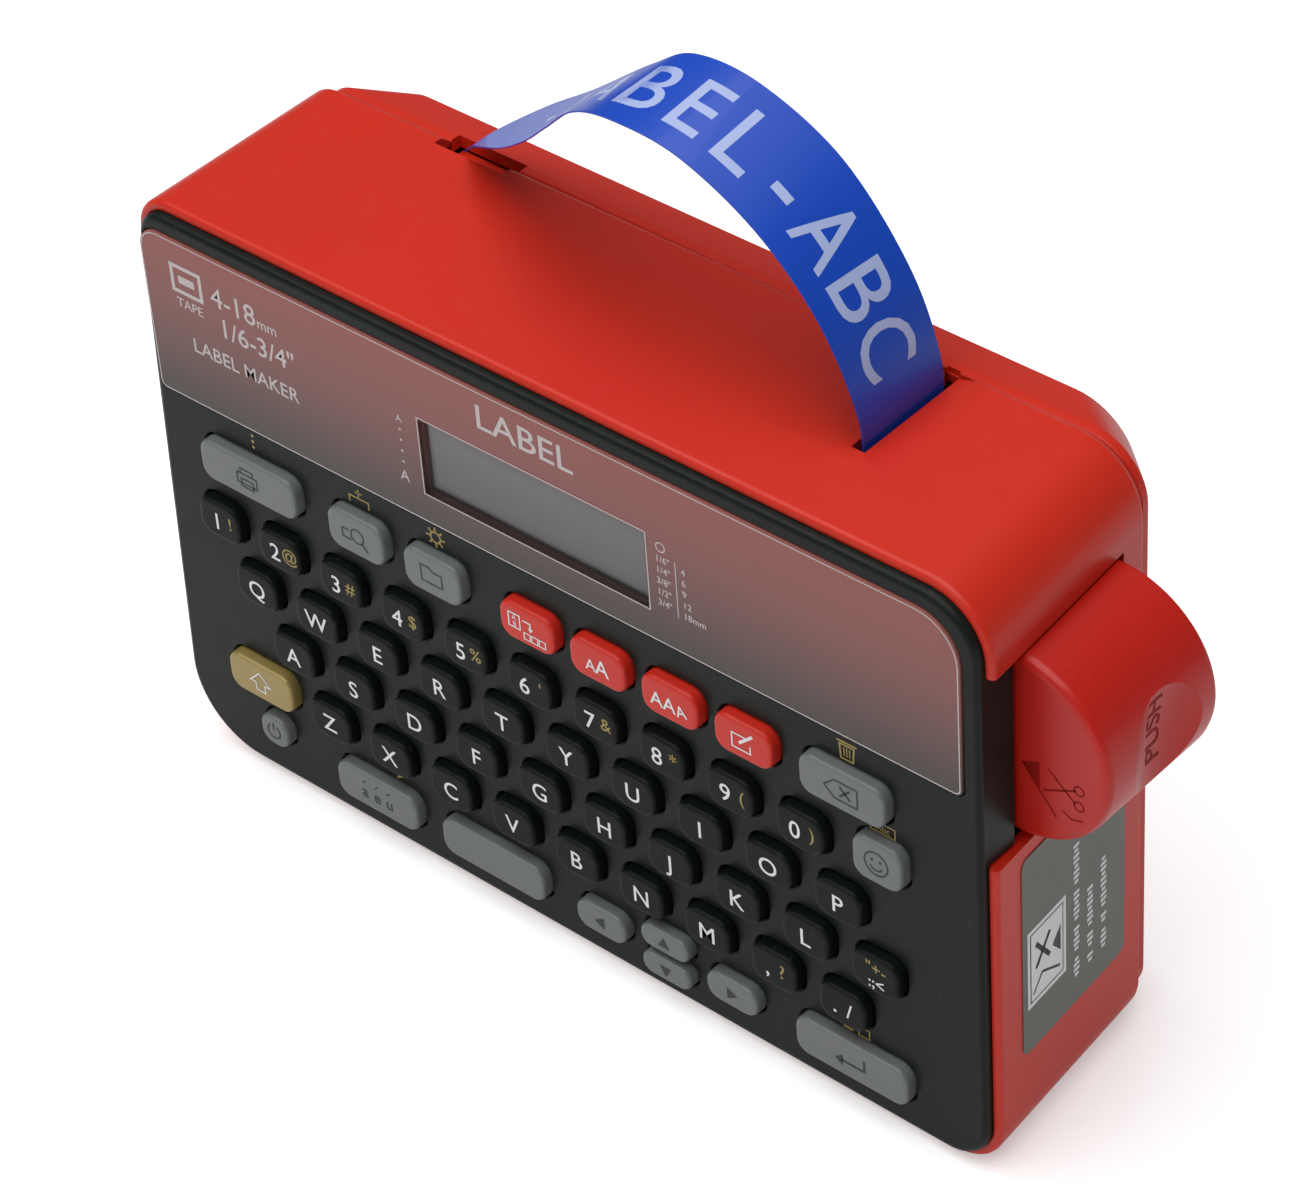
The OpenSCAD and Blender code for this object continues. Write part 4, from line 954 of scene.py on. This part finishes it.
def icon(name, x, z, ink):
    """The sign of one function key."""
    line = lambda *p, **k: ink.stroke([(x + a, z + b) for a, b in p], **k)
    if name == "key_print":
        ink.box(x, z - 0.1, 4.2, 1.9, paint=2)
        line((-1.3, 0.9), (-1.3, 1.8), (1.3, 1.8), (1.3, 0.9), paint=2)
        ink.box(x, z - 0.9, 2.6, 1.5, paint=2)
    elif name == "key_preview":
        ink.ring(x + 0.5, z + 0.2, 1.3, paint=2)
        line((1.4, -0.8), (2.5, -2.0), width=0.4, paint=2)
        line((-0.7, -0.9), (-2.6, -0.9), (-2.6, 0.7), (-1.2, 0.7), paint=2)
    elif name == "key_file":
        line((-2.1, -1.4), (2.1, -1.4), (2.1, 1.0), (0.2, 1.0), (-0.4, 1.6), (-2.1, 1.6), closed=True,
             paint=2)
    elif name == "key_frame":
        ink.box(x - 2.3, z + 0.4, 2.2, 2.6)
        ink.text("A", x - 2.3, z + 1.0, 0.9)
        ink.text("B", x - 2.3, z - 0.2, 0.9)
        line((-0.6, 1.2), (0.9, 1.2), (0.9, 0.2))
        ink.shape([(x + 0.4, z + 0.3), (x + 1.4, z + 0.3), (x + 0.9, z - 0.5)][::-1])
        for k in range(3):
            ink.box(x + 0.1 + 1.5 * k, z - 1.6, 1.2, 1.2, width=0.2)
    elif name == "key_size":
        ink.text("A", x - 1.2, z - 0.5, 2.1)
        ink.text("A", x + 1.0, z - 0.15, 2.8)
    elif name == "key_style":
        ink.text("A", x - 2.3, z - 0.3, 2.5)
        ink.text("A", x + 0.1, z - 0.3, 2.5)
        ink.text("A", x + 2.3, z - 0.5, 2.1, turn=14)
    elif name == "key_edit":
        line((0.6, 1.0), (-1.9, 1.0), (-1.9, -1.6), (1.5, -1.6), (1.5, -0.2))
        line((-0.6, -0.5), (2.0, 1.9), width=0.5)
    elif name == "key_delete":
        line((-3.0, 0.0), (-1.2, 1.7), (3.0, 1.7), (3.0, -1.7), (-1.2, -1.7), closed=True, paint=2)
        for s in (1, -1):
            line((-0.2, -0.9 * s), (1.7, 0.9 * s), width=0.36, paint=2)
    elif name == "key_symbol":
        ink.ring(x, z, 2.1, paint=2)
        ink.ring(x, z - 0.1, 1.15, start=200, end=340, paint=2)
        for s in (1, -1):
            ink.disc(x + 0.75 * s, z + 0.6, 0.26, 2)
    elif name == "key_shift":
        line((0, 2.0), (-2.2, -0.2), (-1.0, -0.2), (-1.0, -1.7), (1.0, -1.7), (1.0, -0.2), (2.2, -0.2),
             closed=True)
    elif name == "key_power":
        ink.ring(x, z, 1.35, start=120, end=420, paint=2)
        line((0, 0.3), (0, 1.8), width=0.34, paint=2)
    elif name == "key_accent":
        for k, sign in enumerate("aeu"):
            ink.text(sign, x - 2.6 + 2.6 * k, z - 0.3, 2.3, 2)
            line((-2.9 + 2.6 * k, 1.4), (-2.2 + 2.6 * k, 2.0), paint=2)
    elif name in ("key_left", "key_right", "key_up", "key_down"):
        turn_by = {"key_left": 180, "key_right": 0, "key_up": 90, "key_down": 270}[name]
        points = [(1.2, 0), (-0.8, 1.15), (-0.8, -1.15)]
        c, s = math.cos(math.radians(turn_by)), math.sin(math.radians(turn_by))
        ink.shape([(x + a * c - b * s, z + a * s + b * c) for a, b in points], 2)
    elif name == "key_enter":
        line((2.6, 1.6), (2.6, -0.6), (-1.8, -0.6), width=0.4, paint=2)
        ink.shape([(x - 3.0, z - 0.6), (x - 1.5, z + 0.5), (x - 1.5, z - 1.7)], 2)


for key_name in SINGLES:
    if key_name != "key_space":
        x, z = single_place(key_name)[:2]
        key_ink = Ink()
        icon(key_name, x, z, key_ink)
        key_ink.lay(key_name + "_legend", ON_KEY, FRONT, INKS, key_name)


def face_print():
    """Gold signs on the face beside the keys."""
    ink = Ink()
    x, z = single_place("key_print")[:2]
    for k in range(3):
        ink.disc(x + 0.6, z + 5.6 + 1.1 * k, 0.3, 1)
    x, z = single_place("key_preview")[:2]
    ink.stroke([(x - 2.0, z + 4.9), (x - 2.0, z + 6.2), (x + 2.0, z + 6.2), (x + 2.0, z + 4.9)], 0.28, 1)
    ink.stroke([(x, z + 6.2), (x, z + 7.9)], 0.28, 1)
    ink.stroke([(x - 0.7, z + 7.2), (x + 0.7, z + 7.2)], 0.28, 1)
    x, z = single_place("key_file")[:2]
    ink.ring(x, z + 6.4, 1.0, 0.36, 1)
    for k in range(8):
        c, s = math.cos(math.tau * k / 8), math.sin(math.tau * k / 8)
        ink.stroke([(x + 1.1 * c, z + 6.4 + 1.1 * s), (x + 1.9 * c, z + 6.4 + 1.9 * s)], 0.34, 1)
    x, z = single_place("key_delete")[:2]
    ink.stroke([(x - 1.3, z + 7.3), (x - 1.1, z + 4.7), (x + 1.1, z + 4.7), (x + 1.3, z + 7.3)], 0.3, 1,
               True)
    ink.stroke([(x - 1.8, z + 7.8), (x + 1.8, z + 7.8)], 0.34, 1)
    for k in (-0.5, 0.0, 0.5):
        ink.stroke([(x + k, z + 5.2), (x + k, z + 6.9)], 0.18, 1)
    x, z = single_place("key_symbol")[:2]
    ink.box(x, z + 5.4, 4.4, 1.8, 0.22, 1)
    ink.text("Abc", x, z + 5.4, 1.1, 1)
    x, z = single_place("key_enter")[:2]
    for k in range(3):
        ink.bar(x - 1.6, z + 4.7 + 0.7 * k, 1.8, 0.4, 1)
    ink.box(x + 1.4, z + 5.4, 2.0, 1.8, 0.22, 1)
    x, z = single_place("key_accent")[:2]
    ink.stroke([(x + 3.4, z + 4.7), (x + 4.6, z + 5.5)], 0.4, 1)
    ink.lay("face_print", ON_FACE, FRONT, INKS, "housing")


face_print()


def window_print_and_highlight():
    """Tape widths and a plain name on the printed window, and a painted highlight line along the window's
    edge.
    """
    ink = Ink()
    x, z = LENS_LO.x, LENS_HI.z
    ink.box(x + 9.5, z - 7.0, 6.0, 4.6, 0.7)
    ink.bar(x + 9.5, z - 7.0, 3.4, 1.4)
    ink.text("TAPE", x + 9.6, z - 11.4, 1.7)
    ink.text("4-18", x + 14.6, z - 7.1, 3.6, align=0.0)
    ink.text("mm", x + 24.2, z - 7.9, 1.9, align=0.0)
    ink.text("1/6-3/4\"", x + 15.6, z - 12.4, 3.4, align=0.0)
    ink.text("LABEL MAKER", x + 9.0, z - 18.6, 2.5, align=0.0)
    ink.text("LABEL", LCD_X - 0.5, LENS_HI.z - 4.8, 4.2, squeeze=1.15)
    left = LCD_X - LCD_W / 2
    ink.text("A", left - 4.0, LCD_Z + 5.2, 1.2)
    ink.text("A", left - 4.0, LCD_Z - 5.4, 1.9)
    for k in range(4):
        ink.disc(left - 4.0, LCD_Z + 3.2 - 2.0 * k, 0.24)
    right = LCD_X + LCD_W / 2 + 3.2
    ink.ring(right - 0.2, LCD_Z + 5.6, 0.8, 0.2)
    for k, (inch, width) in enumerate((("1/6\"", "4"), ("1/4\"", "6"), ("3/8\"", "9"), ("1/2\"", "12"),
                                       ("3/4\"", "18mm"))):
        ink.text(inch, right, LCD_Z + 3.4 - 2.0 * k, 1.15, align=0.5)
        ink.text(width, right + 3.4, LCD_Z + 3.0 - 2.0 * k, 1.15, align=0.0)
    ink.stroke([(right + 2.4, LCD_Z + 4.2), (right + 2.4, LCD_Z - 6.0)], 0.16)
    # Painted highlight: a pale line along the window's edge stands in for the light on its polished bevel.
    ink.stroke([(p[0], p[2]) for p in window_ring(0, -0.42)], 0.2, 0, True)
    ink.box(LCD_X, LCD_Z, LCD_W + 0.5, LCD_H + 0.5, 0.2)
    ink.lay("window_print_and_highlight", ON_LENS, FRONT, [LENS_PRINT_AND_HIGHLIGHT_INK, GOLD_INK], "housing")


window_print_and_highlight()


def sticker_print():
    """A generic sign and three lines of blank bars on the side label."""
    ink = Ink()
    y0, z0 = STICKER_LO.y, STICKER_LO.z
    w, h = STICKER_HI.y - y0, STICKER_HI.z - z0
    mid = z0 + h * 0.42
    ink.bar(y0 + 6.2, mid, 10.0, 15.0)
    ink.box(y0 + 6.2, mid, 8.4, 13.2, 0.3, 2)
    for s in (1, -1):
        ink.stroke([(y0 + 3.4, mid + 1.6 - 2.4 * s), (y0 + 7.0, mid + 1.6 + 2.4 * s)], 0.8, 2)
    ink.shape([(y0 + 7.6, mid + 0.4), (y0 + 9.8, mid + 3.0), (y0 + 9.8, mid - 2.2)][::-1], 2)
    ink.stroke([(y0 + 2.6, mid - 5.4), (y0 + 5.0, mid - 2.6), (y0 + 9.6, mid - 5.0)], 0.5, 2)
    for y, marks in ((14.0, (4, 5, 6, 8)), (17.6, (2, 3, 8)), (21.2, (4, 2, 10))):
        z = z0 + 5.0
        for mark in marks:
            for k in range(mark):
                ink.bar(y0 + y, z + 0.5, 1.5 if k % 3 else 1.0, 0.62)
                z += 1.0
            z += 1.1
    slope = DRAFT / (SEAM_Y - RIM_Y)
    ink.lay("sticker_print", lambda y, z: (STICKER_HI.x + 0.03 - slope * (y - STICKER_LO.y), y, z),
            (1, 0, 0), INKS,
            "housing")


sticker_print()


# ---------- printed label ----------

LABEL_STATIONS = [
    [[0, 0, -8.0], [0, 0, -8.0]], [[0, 0, 2], [0, 0, 2]], [[-6.4, 0, 15.7], [-5.1, 0, 15.4]],
    [[-17, 0, 26.6], [-16.3, 0, 28.8]], [[-30.5, 0, 33.5], [-30.5, 0, 35.6]],
    [[-42.5, 0, 34.8], [-42.5, 0, 36.1]],
    [[-50, 0, 33.3], [-51, 0, 31.2]], [[-57.5, 2, 26.6], [-63.3, 0.6, 21.8]],
    [[-64.6, 4.8, 20], [-73.7, 1.6, 14.4]],
    [[-74.9, 9.8, 11.8], [-86.5, 3.3, 4.2]], [[-82.5, 11.8, 8], [-94, 2.8, -2.6]],
]


def label_edges(steps):
    """Front and rear edge of the standing label, from the slot to its curled end."""
    table = np.array(LABEL_STATIONS, float)
    edges = []
    for side in (0, 1):
        line = []
        for i in range(steps + 1):
            u = i * (len(table) - 1) / steps
            k = min(int(u), len(table) - 2)
            t = u - k
            a, b, c, d = (table[max(0, min(len(table) - 1, k + j)), side] for j in (-1, 0, 1, 2))
            point = 0.5 * (2 * b + (c - a) * t + (2 * a - 5 * b + 4 * c - d) * t * t
                           + (3 * b - a - 3 * c + d) * t ** 3)
            line.append(point + (SLOT_X, TAPE_Y + side * TAPE_W, BODY_H))
        edges.append(np.array(line))
    return edges


def standing_label():
    """The blue strip and its pale print, which follows the strip."""
    steps, thick = 220, 0.24
    front, rear = label_edges(steps)
    middle = (front + rear) / 2
    along = np.gradient(middle, axis=0)
    out = np.cross(along, rear - front)
    out /= np.linalg.norm(out, axis=1)[:, None]
    if out[steps // 4][2] < 0:
        out = -out
    rings = []
    for i in range(steps + 1):
        n = out[i] * thick / 2
        rings.append([front[i] - n, front[i] * 0.98 + rear[i] * 0.02 - n,
                      rear[i] * 0.98 + front[i] * 0.02 - n, rear[i] - n,
                      rear[i] + n, rear[i] * 0.98 + front[i] * 0.02 + n,
                      front[i] * 0.98 + rear[i] * 0.02 + n, front[i] + n])
    dress(solid("standing_label", loft(rings)), BLUE, "housing", ["label_tape"], angle=50)

    run = np.concatenate([[0], np.cumsum(np.linalg.norm(np.diff(middle, axis=0), axis=1))])
    words, cap, pitch = "-LABEL-ABC", 10.4, 8.7
    work = bmesh.new()
    for k, letter in enumerate(words):
        if letter == " ":
            continue
        points, faces, width = lettering(letter)
        scale = min(1.0, 0.84 / width)
        middle_x, stretch = (k + 0.5) * pitch, cap * scale * 0.92
        verts = [work.verts.new((middle_x + (px - width / 2) * stretch, pz * cap, 0)) for px, pz in points]
        for f in faces:
            try:
                work.faces.new([verts[i] for i in f])
            except ValueError:
                pass
    cut = 0.8
    for x in np.arange(cut, len(words) * pitch, cut):
        bmesh.ops.bisect_plane(work, geom=work.verts[:] + work.edges[:] + work.faces[:],
                               plane_co=(x, 0, 0), plane_no=(1, 0, 0))
    start = 13.0 + len(words) * pitch  # the text ends a little above the slot
    for v in work.verts:
        s = start - v.co.x
        across = (TAPE_W - cap) / 2 / TAPE_W + v.co.y / TAPE_W
        a = np.array([np.interp(s, run, front[:, c]) for c in range(3)])
        b = np.array([np.interp(s, run, rear[:, c]) for c in range(3)])
        n = np.array([np.interp(s, run, out[:, c]) for c in range(3)])
        v.co = Vector(put(a + (b - a) * across + n * (thick / 2 + INK_LIFT)))
    doomed = [v for v in work.verts if v.co.z < BODY_H * MM - 0.001]
    bmesh.ops.delete(work, geom=doomed, context="VERTS")
    work.normal_update()
    for f in list(work.faces):
        centre = (np.array(f.calc_center_median()) - np.array(ORIGIN)) / MM
        i = int(np.argmin(np.linalg.norm(middle - centre, axis=1)))
        if f.normal.dot(Vector(out[i])) < 0:
            f.normal_flip()
    mesh = bpy.data.meshes.new("label_print")
    work.to_mesh(mesh)
    work.free()
    thing = bpy.data.objects.new("label_print", mesh)
    bpy.context.scene.collection.objects.link(thing)
    dress(thing, PALE_INK, "housing", angle=60)


standing_label()


# ---------- cutter lever ----------

def lever_ring(y, inset, chord=BODY_W - 3.4):
    """The lever's D shape at depth y."""
    r = LEVER_R - inset
    reach = math.acos((chord - LEVER_X) / r)
    return [(LEVER_X + r * math.cos(a), y, LEVER_Z + r * math.sin(a))
            for a in np.linspace(-reach, reach, 72)]


def cutter_lever():
    """The red lever: a rounded D block with a thumb scoop, on its arms and hub."""
    y0, y1 = LEVER_LO.y, LEVER_HI.y
    profile = [(y0, 1.5), (y0 + 0.1, 0.95), (y0 + 0.4, 0.4), (y0 + 0.8, 0.12), (y0 + 1.4, 0.0),
               (y1 - 1.2, 0.0), (y1 - 0.5, 0.2), (y1 - 0.1, 0.7), (y1, 1.2)]
    lever = solid("lever_shell", loft([lever_ring(y, inset) for y, inset in profile]))
    tilt, deep, radial, around, length = math.radians(-2), 2.8, 12.0, 26.8, 11.8
    scoop = []
    for t in np.linspace(-88, 88, 23):
        a = math.radians(t)
        ring = []
        for b in np.linspace(0, math.tau, 64, endpoint=False):
            out = LEVER_R + radial - deep + radial * math.cos(a) * math.cos(b)
            up = around * math.cos(a) * math.sin(b)
            ring.append((LEVER_X + out * math.cos(tilt) - up * math.sin(tilt),
                         y0 + 13.6 + length * math.sin(a),
                         LEVER_Z + out * math.sin(tilt) + up * math.cos(tilt)))
        scoop.append(ring)
    carve(lever, loft(scoop))
    ease_edges(lever, 0.35, angle=24, segments=3)
    dress(lever, LEVER_RED, "cutter_lever", ["cutter_lever"], angle=40)
    arms = []
    for y in (y0 + 7.2, y1 - 2):
        arms += [rod(PIN_X, PIN_Z, y, y + 2, 3.2, 0.2),
                 block(PIN_X, BODY_W - 3.0, y, y + 2, PIN_Z - 3.2, PIN_Z + 3.2)]
    arms += [block(PIN_X - 1.2, PIN_X + 1.2, y1 - 2, y1, PIN_Z, PIN_Z + 12),
             rod(PIN_X, PIN_Z + 12, y1 - 2, y1, 2, 0.15)]
    dress(solid("lever_arms", join(*arms)), LEVER_RED, "cutter_lever")
    return lever


lever_thing = cutter_lever()


def lever_marks():
    """The pressed word on the scoop and the pressed scissors on the front end, as flat darker red: painted
    shade for their recesses.
    """
    ink = Ink()
    ink.text("PUSH", LEVER_LO.y + 13.2, LEVER_Z + 0.4, 3.1, turn=90, squeeze=1.12)
    tree = BVHTree.FromObject(lever_thing, bpy.context.evaluated_depsgraph_get())

    def on_lever(y, z):
        start = Vector(put((BODY_W + 30, y, z)))
        hit = tree.ray_cast(start, Vector((-1, 0, 0)))[0]
        if hit is None:
            return BODY_W + 12, y, z
        spot = (hit - ORIGIN) / MM
        return spot.x + 0.06, y, z

    ink.lay("lever_word", on_lever, (1, 0, 0), [PRESSED_MARK_SHADE_RED], "cutter_lever", 0.5)
    ink = Ink()
    x, z = BODY_W - 1.0, LEVER_Z - 6.0
    ink.shape([(x + 0.2, z + 3.6), (x + 3.2, z + 5.0), (x + 3.2, z + 0.2)][::-1])
    ink.stroke([(x + 0.2, z + 3.6), (x + 6.0, z - 3.6)], 0.35)
    ink.stroke([(x + 4.6, z + 4.6), (x + 9.2, z + 0.6)], 0.35)
    ink.stroke([(x + 3.8, z + 0.2), (x + 9.4, z + 3.0)], 0.35)
    ink.ring(x + 9.9, z + 0.4, 0.8, 0.3)
    ink.ring(x + 9.9, z + 3.2, 0.8, 0.3)
    ink.stroke([(x + 7.0, z - 1.8), (x + 8.6, z - 2.6), (x + 10.6, z - 2.0)], 0.3)
    ink.lay("lever_sign", lambda x, z: (x, LEVER_LO.y - INK_LIFT, z), FRONT, [PRESSED_MARK_SHADE_RED],
            "cutter_lever")


lever_marks()
